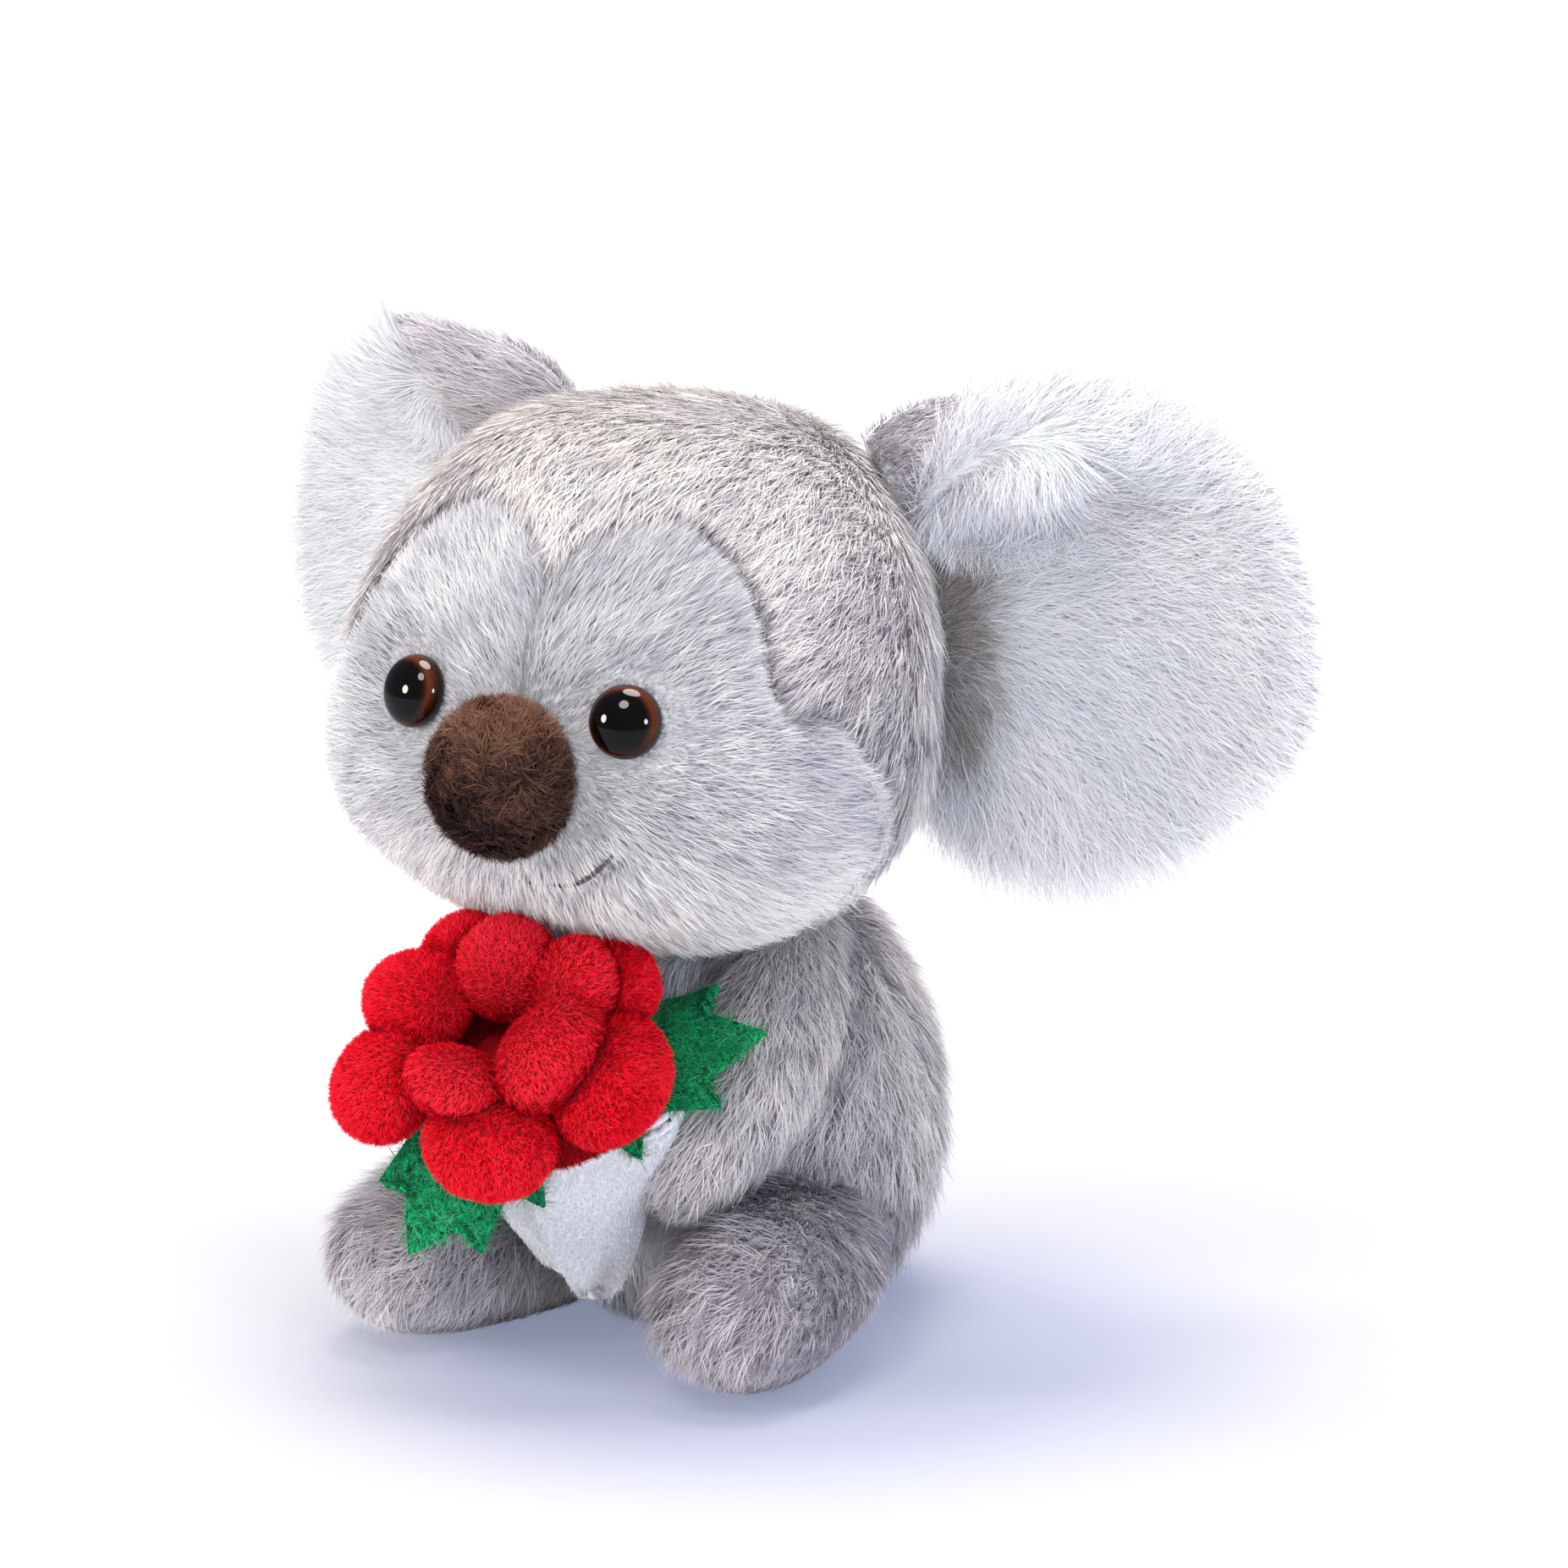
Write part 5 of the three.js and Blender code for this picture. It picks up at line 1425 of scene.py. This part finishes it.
def petal_half(i):
    """A petal's half widths, less the pile that it carries."""
    more = PETAL_OWN_FULLER.get(i, PETAL_FULLER)
    return np.array([FLOWER_R * PETALS[key][i] - 0.55 + m for key, m in zip(("wide", "long", "thick"), more)])


def base_height(radius):
    """The flower's base: flat in the middle, falling to the wrapper's rim."""
    return -2.4 - 4.6 * step(radius, 10.5, 17.5)


def petal_grid(i, middle, axes, half, placed):
    """A lumpy ball, flattened against the petals placed before it, the flower's base and the head."""
    grid = ball_grid(middle, axes, half, 34, 48)
    lumps = noise(grid.points.reshape(-1, 3), 5.5, 90 + i) - 0.5
    p = grid.moved(0.7 * lumps).points.reshape(-1, 3)
    for other_middle, other_axes, other_half in placed:
        local = (p - other_middle) @ other_axes.T
        ratio = np.linalg.norm(local / (other_half + 0.35), axis=1)
        inside = ratio < 1
        p[inside] = other_middle + (local[inside] / ratio[inside, None]) @ other_axes
    flower = in_flower(p)
    radius = np.hypot(flower[:, 0], flower[:, 1])
    floor = base_height(radius) + 0.3
    under = (flower[:, 2] < floor) & (radius < 14)
    flower[under, 2] = floor[under]
    p = out_of_head(from_flower(flower))
    return Grid(p.reshape(grid.points.shape), closed=True)


def build_petals():
    """The inner petals are placed first, and the outer ones against them."""
    grids = {}
    placed = []
    for i in [6, 7, 8, 9, 0, 1, 2, 3, 4, 5]:
        middle, axes = petal_frame(i)
        half = petal_half(i)
        grids[i] = petal_grid(i, middle, axes, half, placed)
        placed.append((middle, axes, half))
    for k, (i, grid) in enumerate(grids.items()):
        build_petal(i, grid, placed[k], placed[:k] + placed[k + 1:])


def build_petal(i, grid, place, others):
    """One stuffed petal and its short pile, with painted shade where it meets the others and deep in the
    flower, and painted light that makes the inner petals lighter.
    """
    middle, axes, _ = place
    name = f"outer_petal_{i + 1}" if i < OUTER else f"inner_petal_{i - OUTER + 1}"
    # Painted light: the inner petals are lighter than the outer ones.
    petal_painted_light = 0.08 if i < OUTER else 0.34
    stuffed(f"{name}_skin", "torso", red_cloth, grid, name)

    def to_others(p):
        """How far each root is from the nearest other petal, in millimetres or so."""
        ratios = [np.linalg.norm(((p - m) @ ax.T) / h, axis=1) for m, ax, h in others]
        return (np.min(ratios, axis=0) - 1) * 6

    def flow(p, n):
        return np.tile(axes[1], (len(p), 1)) * 0.8 + unit(p - middle) * 0.5 - 0.3 * UP

    def tone(p):
        local = (p - middle) @ axes.T
        rows = 0.07 * np.sin(local[:, 0] * 5.5 + 2 * noise(p, 4, 3))
        flower = in_flower(p)
        # Painted shade deep in the flower and where the petal meets the others.
        deep = (1 - step(np.hypot(flower[:, 0], flower[:, 1]), 3.5, 7.5)) * (1 - step(flower[:, 2], 2, 7))
        return rows + petal_painted_light - 0.6 * deep - 0.75 * fading(to_others(p), 0.9)

    def shown(p):
        return to_others(p) > 0.35

    fur(f"{name}_pile", "torso", red_pile, grid, 25, 1.2, flow, 100 + i, lift=0.88, clump=0.5, pull=0.5,
        width=0.135, wander=0.6, clump_wander=0.8, tone=tone, keep=shown, spread=0.6)


def out_of_head(p):
    """Points that would lie in the head move down out of it, a small step at a time."""
    near = head_ratio(p, 1.2) < 1
    out = p.copy()
    for _ in range(24):
        if not near.any():
            break
        out[near] += np.array([0, -0.12, -0.3])
        near = head_ratio(out, 1.2) < 1
    return out


def build_base():
    """The rose's base cloth, and a smooth bare label in the middle of the flower."""
    base_r = 16.8
    radius = np.concatenate([[0.0], np.linspace(2.0, base_r, 24)])
    a = ring_angles(64)
    share = radius[:, None] / base_r
    x = radius[:, None] * np.cos(a) + 3.2 * share
    y = radius[:, None] * np.sin(a) * (1 - 0.12 * share)
    p = from_flower(np.stack([x, y, base_height(radius)[:, None] + 0 * a], -1))
    low = np.stack([wrapper_point(np.full(64, s), a, 1.5) for s in (0.12, 0.3)])
    centre = np.repeat(low[-1:].mean(1, keepdims=True), 64, 1)
    grid = facing(np.concatenate([p, low, centre]), (4, 0), FLOWER_AXES[2], closed=True)
    stuffed("flower_base_skin", "torso", red_cloth, grid, "flower_base")

    def outwards(p, n):
        return p - FLOWER

    def off_label(p):
        return np.linalg.norm(in_flower(p) * np.array([1, 1, 0]), axis=1) > 4.9

    # The base's pile is darkened all over: painted shade deep in the flower.
    fur("flower_base_pile", "torso", red_pile, Grid(p, closed=True, flip=grid.flip), 11, 1.4, outwards, 121,
        lift=0.7, clump=0.5, pull=0.4, width=0.12, tone=-0.4, keep=off_label)
    r = np.array([0.0, 2.3, 4.3, 4.6, 4.6, 4.3, 0.0])
    z = np.array([0.8, 0.85, 0.8, 0.62, 0.15, 0.0, 0.0]) - 2.1
    label = turned_grid(r, z, FLOWER, FLOWER_AXES, flip=True)
    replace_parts(grid_object("flower_label_disc", "torso", red_satin, label), "flower_label")


def facing(points, place, direction, closed=False):
    """The grid whose normal at one of its points faces a direction."""
    grid = Grid(points, closed)
    if dot(grid.normals[place], direction)[0] < 0:
        grid = Grid(points, closed, flip=True)
    return grid


CLOTH_TIMES = 20.0
CLOTH_FRAMES = 24


def settled(name, grid, held, swell, cap):
    """The grid's cloth let go in Blender's Cloth, so that it creases as it likes.

    The cloth is cut a share larger than its shape, which makes it buckle. It runs at twenty times its size,
    where the solver's least lengths don't matter. held is each point's hold, and no point moves past cap.
    """
    points = grid.points.reshape(-1, 3)
    middle = points.mean(0)
    mesh = bpy.data.meshes.new(name)
    mesh.from_pydata(((points - middle) * METRES * CLOTH_TIMES).tolist(), [], grid.quads().tolist())
    mesh.update()
    obj = new_object(name, mesh)
    group = obj.vertex_groups.new(name="held")
    for level in np.unique(held):
        group.add(np.flatnonzero(held == level).tolist(), float(level), "REPLACE")
    cloth = obj.modifiers.new("Cloth", "CLOTH")
    cloth.settings.quality = 5
    cloth.settings.mass = 0.2
    cloth.settings.tension_stiffness = 20
    cloth.settings.compression_stiffness = 20
    cloth.settings.bending_stiffness = 0.6
    cloth.settings.vertex_group_mass = "held"
    cloth.settings.shrink_min = -swell
    cloth.settings.effector_weights.gravity = 0.3
    cloth.collision_settings.use_collision = False
    cloth.point_cache.frame_start = 1
    cloth.point_cache.frame_end = CLOTH_FRAMES
    for number in range(1, CLOTH_FRAMES + 1):
        bpy.context.scene.frame_set(number)
    done = obj.evaluated_get(bpy.context.evaluated_depsgraph_get()).to_mesh()
    found = np.empty(len(points) * 3, np.float32)
    done.vertices.foreach_get("co", found)
    obj.to_mesh_clear()
    bpy.data.objects.remove(obj, do_unlink=True)
    bpy.context.scene.frame_set(1)
    move = found.reshape(-1, 3) / (METRES * CLOTH_TIMES) + middle - points
    size = np.linalg.norm(move, axis=1, keepdims=True)
    move = move * np.minimum(1, cap / np.maximum(size, 1e-6))
    return Grid((points + move).reshape(grid.points.shape), grid.closed, grid.flip)


def on_grid(grid, part, angle):
    """Points and normals of a closed grid at parts of its rows and angles round its columns."""
    rows, columns = grid.points.shape[:2]
    i = np.clip(part * (rows - 1), 0, rows - 1.001)
    j = (angle / (2 * np.pi) * columns) % columns
    i0 = i.astype(int)
    j0 = j.astype(int)
    j1 = (j0 + 1) % columns
    s = (i - i0)[..., None]
    t = (j - j0)[..., None]

    def mix(f):
        low = f[i0, j0] * (1 - t) + f[i0, j1] * t
        high = f[i0 + 1, j0] * (1 - t) + f[i0 + 1, j1] * t
        return low * (1 - s) + high * s

    return mix(grid.points), unit(mix(grid.normals))


def flap_grid(cone, flip):
    """The second layer, narrower towards its tip. It lies 1.2 mm off the cone, and its edges and its tip
    stand further off in a few soft waves."""
    s = np.linspace(0, 1, 44)[:, None]
    u = np.linspace(-1, 1, 44)[None, :]
    narrow = np.sqrt(np.maximum(0, 1 - s**5))
    angle = np.radians(-40 + 46 * narrow * u)
    points, normals = on_grid(cone, (0.03 + 0.95 * s) * np.ones_like(u), angle)
    lift = 1.2 + 1.2 * u**4 * s + 1.8 * s**3 + 0.4 * np.sin(4 * u + 3 * s) * s
    return Grid(points + normals * lift[..., None], flip=flip)


def build_wrapper():
    """The cone of cloth round the bouquet, and a second layer laid over its front."""
    rows = 48
    columns = 120
    part = np.broadcast_to(np.linspace(0, 1, rows)[:, None], (rows, columns))
    a = np.broadcast_to(ring_angles(columns)[None, :], (rows, columns))
    p = wrapper_point(part, a, ruffle=0.012 * np.cos(7 * a + 2) * (1 - part))
    cone = facing(p, (24, 0), p[24, 0] - p[24].mean(0), closed=True)
    held = np.concatenate([[1.0, 1.0, 0.8, 0.6, 0.4, 0.2], np.zeros(rows - 9), [0.3, 0.7, 1.0]])
    cone = settled("wrapper_cloth_run", cone, np.repeat(held, columns), swell=0.06, cap=0.8)
    end = np.repeat(cone.points[-1:].mean(1, keepdims=True) - 0.6 * UP, columns, 1)
    grid = Grid(np.concatenate([cone.points, end]), closed=True, flip=cone.flip)
    cloth = grid_object("wrapper_cloth", "torso", wrap_cloth, grid, 1.0)
    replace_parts(cloth, "wrapper")

    def hang(p, n):
        return np.tile(np.array([0.1, -0.1, -1.0]), (len(p), 1))

    def shown(p):
        return (form_ratio(BODY, p) > 1) & (wrapper_place(p)[0] < 0.96)

    fur("wrapper_pile", "torso", wrap_pile, grid, 8.8, 0.9, hang, 131, lift=0.5, clump=0.6, pull=0.4,
        width=0.13, wander=0.4, keep=shown)
    flap = flap_grid(cone, cone.flip)
    cloth = grid_object("wrapper_flap_cloth", "torso", wrap_cloth, flap, 1.0)
    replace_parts(cloth, "wrapper_flap")
    flap.square_metres()
    fur("wrapper_flap_pile", "torso", wrap_pile, flap, 11, 0.9, hang, 133, lift=0.5, clump=0.7, pull=0.4,
        width=0.13, wander=0.4)


# A leaf's toothed edge, knot by knot, along and across it, and where each knot's row meets its middle,
# all as shares of its length.
LEAF_ALONG = [0, 0.12, 0.36, 0.4, 0.77, 0.69, 1]
LEAF_ACROSS = [0.14, 0.34, 0.52, 0.3, 0.34, 0.2, 0]
LEAF_SPINE = [0, 0.1, 0.3, 0.38, 0.55, 0.8, 1]
FELT = 0.9
LEAF_DROP = 5.7


def leaf_points(root, x, y, z, length, droop, stand):
    """Rows run along the toothed edge and columns cross from edge to edge; the tip curls up, the felt dents
    and its edges droop with the square of the distance across."""
    s = np.linspace(0, 6, 97)
    knots = np.arange(7.0)
    edge = np.stack([np.interp(s, knots, LEAF_ALONG), np.interp(s, knots, LEAF_ACROSS)], 1)
    spine = np.stack([np.interp(s, knots, LEAF_SPINE), np.zeros(97)], 1)
    t = np.linspace(-1, 1, 33)[None, :, None]
    both_edges = np.where(t < 0, edge[:, None] * np.array([1, -1]), edge[:, None])
    flat = (spine[:, None] * (1 - np.abs(t)) + both_edges * np.abs(t)) * length
    world = root + flat[..., :1] * x + flat[..., 1:] * y
    dents = noise(world.reshape(-1, 3), 6.0, 7).reshape(world.shape[:2]) - 0.5
    curl = (flat[..., 0] / length) ** 2 + 0.9 * dents - droop * flat[..., 1] ** 2
    return world + curl[..., None] * z + z * stand


def build_leaf(name, felt, fibres, root, tip, front, droop, stand, seed):
    """One felt leaf from its root to its tip, and the fibres that stand off both of its faces."""
    length = np.linalg.norm(tip - root)
    x = unit(tip - root)
    y = unit(np.cross(front, x))
    z = np.cross(x, y)
    points = leaf_points(root, x, y, z, length, droop, stand)
    grid = facing(points, (40, 16), z)
    leaf = grid_object(f"{name}_felt", "torso", felt, grid, FELT)
    soften = leaf.modifiers.new("edge", "BEVEL")
    soften.width = 0.0002
    soften.segments = 2
    soften.limit_method = "ANGLE"
    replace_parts(leaf, name)
    grid.square_metres()

    def every_way(p, n):
        return swirls(p, 1.2, (61, 62, 63))

    back = Grid(points - z * FELT, flip=not grid.flip)
    fur(f"{name}_fibres", "torso", fibres, [grid, back], 9, 2.0, every_way, seed, lift=0.2, clump=0.5,
        pull=0.05, width=0.08, wander=1.2, clump_wander=1.5)


def build_leaves():
    """The upper leaf lies in the flower's own plane and the lower one hangs down in front of the wrapper."""
    felt = felt_material()
    fibres = pile_material("green_felt_fibres", "#00432a", "#02925a", "#6ce6ac", root="#c0c0c0", sheen=0.0)
    upper_root = from_flower(np.array([6.0, 1.0, -LEAF_DROP]))
    upper_tip = from_flower(np.array([FLOWER_R * 1.88, FLOWER_R * 0.48, -LEAF_DROP]))
    build_leaf("leaf_upper", felt, fibres, upper_root, upper_tip, FLOWER_AXES[2], 0.012, 0.45, 141)
    lower_seam = FLOWER + np.array([1.8, -4.4, -LEAF_DROP])
    lower_tip = lower_seam + np.array([-11.7, -3.4, -22.4])
    lower_front = np.array([0.11, -0.983, 0.144])
    build_leaf("leaf_lower", felt, fibres, lower_seam + UP, lower_tip, lower_front, 0.0, 1.3, 143)


def felt_material():
    """Pressed wool felt: matted fibres in two greens, with a rough fibrous bump."""
    material, shader = new_material("green_pressed_felt", roughness=0.95, sheen=0.1, specular=0.08)
    stretch = add(material, "ShaderNodeMapping", Scale=(1.0, 2.2, 0.7))
    link(material, add(material, "ShaderNodeTexCoord").outputs["Object"], stretch.inputs["Vector"])
    mat = noise_at(material, stretch.outputs[0], Scale=1400.0, Detail=4.0, Roughness=0.7, Distortion=1.2)
    greens = ramp(material, mat, [(0.41, "#00341e"), (0.5, "#007241"), (0.59, "#04ac68")])
    link(material, greens, shader.inputs["Base Color"])
    raise_surface(material, shader, mat, 0.6)
    return material


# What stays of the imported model.

def finish_washers():
    material = cloth_material("moulded_white_washer_plastic", "#e2e2de", "#ececea",
                              size=2.0, bump=0.05, sheen=0, roughness=0.45)
    for side, _ in SIDES:
        for slot in frame["nodes"][f"eye_washer_{side}"].material_slots:
            slot.material = material


# The studio and the camera.

def floor_material():
    """White studio floor: it takes the toy's shadow, and its glow, seen by the camera alone, rises to white
    with the distance from the toy.
    Near the toy the glow stays low and bluish grey, a painted shadow round it, and the camera sees the
    floor's own colour darker and bluer than the light it throws back."""
    material, surface = bare_material("white_studio_floor")
    rays = add(material, "ShaderNodeLightPath").outputs
    seen = add(material, "ShaderNodeMix", data_type="RGBA")
    seen.inputs[6].default_value = colour("#dfe0e4")
    seen.inputs[7].default_value = colour("#93949e")
    link(material, rays["Is Camera Ray"], seen.inputs[0])
    tint = add(material, "ShaderNodeMix", data_type="RGBA")
    tint.inputs[7].default_value = colour("#8c8e92")
    link(material, rays["Is Glossy Ray"], tint.inputs[0])
    link(material, seen.outputs[2], tint.inputs[6])
    diffuse = add(material, "ShaderNodeBsdfDiffuse")
    link(material, tint.outputs[2], diffuse.inputs["Color"])
    centred = add(material, "ShaderNodeMapping", Location=(-0.02, -0.002, 0.0))
    link(material, add(material, "ShaderNodeTexCoord").outputs["Object"], centred.inputs["Vector"])
    distance = add(material, "ShaderNodeVectorMath", operation="LENGTH")
    link(material, centred.outputs[0], distance.inputs[0])
    doubled = add(material, "ShaderNodeMath", operation="MULTIPLY")
    doubled.inputs[1].default_value = 2.0
    link(material, distance.outputs["Value"], doubled.inputs[0])
    # The glow is low and bluish within a few centimetres of the toy: a painted shadow round it.
    far = [(0.085, "#81879f"), (0.15, "#aeada9"), (0.3, "#cecdcb"), (0.9, "#ecebe4")]
    glow = add(material, "ShaderNodeEmission")
    link(material, ramp(material, doubled.outputs[0], far), glow.inputs["Color"])
    link(material, rays["Is Camera Ray"], glow.inputs["Strength"])
    both = add(material, "ShaderNodeAddShader")
    link(material, diffuse.outputs[0], both.inputs[0])
    link(material, glow.outputs[0], both.inputs[1])
    link(material, both.outputs[0], surface)
    return material


def build_floor():
    reach = 6000.0
    level = -0.05
    corners = np.array([(x * reach, y * reach, level) for x, y in ((-1, -1), (1, -1), (1, 1), (-1, 1))])
    floor = new_object("studio_floor", new_mesh("studio_floor", corners + SHIFT, np.arange(4), np.array([0])))
    floor.data.materials.append(floor_material())


def background(world, light, strength):
    return add(world, "ShaderNodeBackground", Color=light, Strength=strength).outputs[0]


def either_shader(world, factor, first, second):
    mix = add(world, "ShaderNodeMixShader")
    link(world, factor, mix.inputs[0])
    link(world, first, mix.inputs[1])
    link(world, second, mix.inputs[2])
    return mix.outputs[0]


def build_world():
    """White to the camera and through clear things, a soft sky that lights the toy, and a dim room that
    polished things mirror."""
    world = bpy.data.worlds.new("studio")
    bpy.context.scene.world = world
    world.use_nodes = True
    world.node_tree.nodes.clear()
    rays = add(world, "ShaderNodeLightPath").outputs
    seen = add(world, "ShaderNodeMath", operation="MAXIMUM")
    link(world, rays["Is Camera Ray"], seen.inputs[0])
    link(world, rays["Is Transmission Ray"], seen.inputs[1])
    white = background(world, (1, 1, 1, 1), 1.0)
    sky = either_shader(world, seen.outputs[0], background(world, colour("#eaeefb"), 0.86), white)
    room = either_shader(world, rays["Is Glossy Ray"], sky, background(world, colour("#c8ccd4"), 0.3))
    link(world, room, add(world, "ShaderNodeOutputWorld").inputs[0])


def lamp(name, place, size, power, hex_code):
    """A round softbox pointed at the toy."""
    light = bpy.data.lights.new(name, "AREA")
    light.shape = "DISK"
    light.size = size
    light.energy = power
    light.color = colour(hex_code)[:3]
    turn_to(new_object(name, light), np.array(place), np.array([0, 0.0, 0.07]))


def turn_to(obj, place, target):
    """Puts an object somewhere and points its -Z at the target with +Y up."""
    back = unit(place - target)
    right = unit(np.cross(UP, back))
    matrix = mathutils.Matrix.Identity(4)
    for column, axis in enumerate((right, np.cross(back, right), back, place)):
        for row in range(3):
            matrix[row][column] = float(axis[row])
    obj.matrix_world = matrix


def build_camera():
    """The photograph's view: 31.8 degrees round and 12.8 above, 0.9 m away through a long lens."""
    az = math.radians(31.8)
    el = math.radians(12.8)
    back = np.array([math.sin(az) * math.cos(el), -math.cos(az) * math.cos(el), math.sin(el)])
    right = np.array([math.cos(az), math.sin(az), 0])
    up = np.cross(back, right)
    middle = np.array([-0.0001, 0.0014, 0.072])
    camera = bpy.data.cameras.new("camera")
    camera.lens = 149.5
    camera.sensor_width = 36.0
    camera.clip_start = 0.05
    camera.clip_end = 40.0
    obj = new_object("camera", camera)
    turn_to(obj, middle + 0.9 * back, middle + 0.0176 * right + 0.0059 * up)
    bpy.context.scene.camera = obj


build_camera()
build_floor()
build_world()
lamp("left_softbox", (-0.72, -0.95, 0.36), 0.3, 6.2, "#fff6ec")
lamp("top_softbox", (-0.02, 0.12, 1.2), 0.7, 14.8, "#fffaf4")
lamp("overhead_softbox", (0.02, -0.78, 1.02), 0.42, 5.1, "#fffaf4")
lamp("right_fill", (1.1, -0.5, 0.36), 0.26, 4.6, "#e6edff")
build_head()
build_nose()
build_eyes()
build_mouth()
for ear_side, ear_mirror in SIDES:
    build_ear(ear_side, ear_mirror)
build_body()
for limb_side, limb_mirror in SIDES:
    build_leg(limb_side, limb_mirror)
    build_arm(limb_side, limb_mirror)
build_petals()
build_base()
build_wrapper()
build_leaves()
finish_washers()

bpy.context.scene.view_settings.view_transform = "Standard"
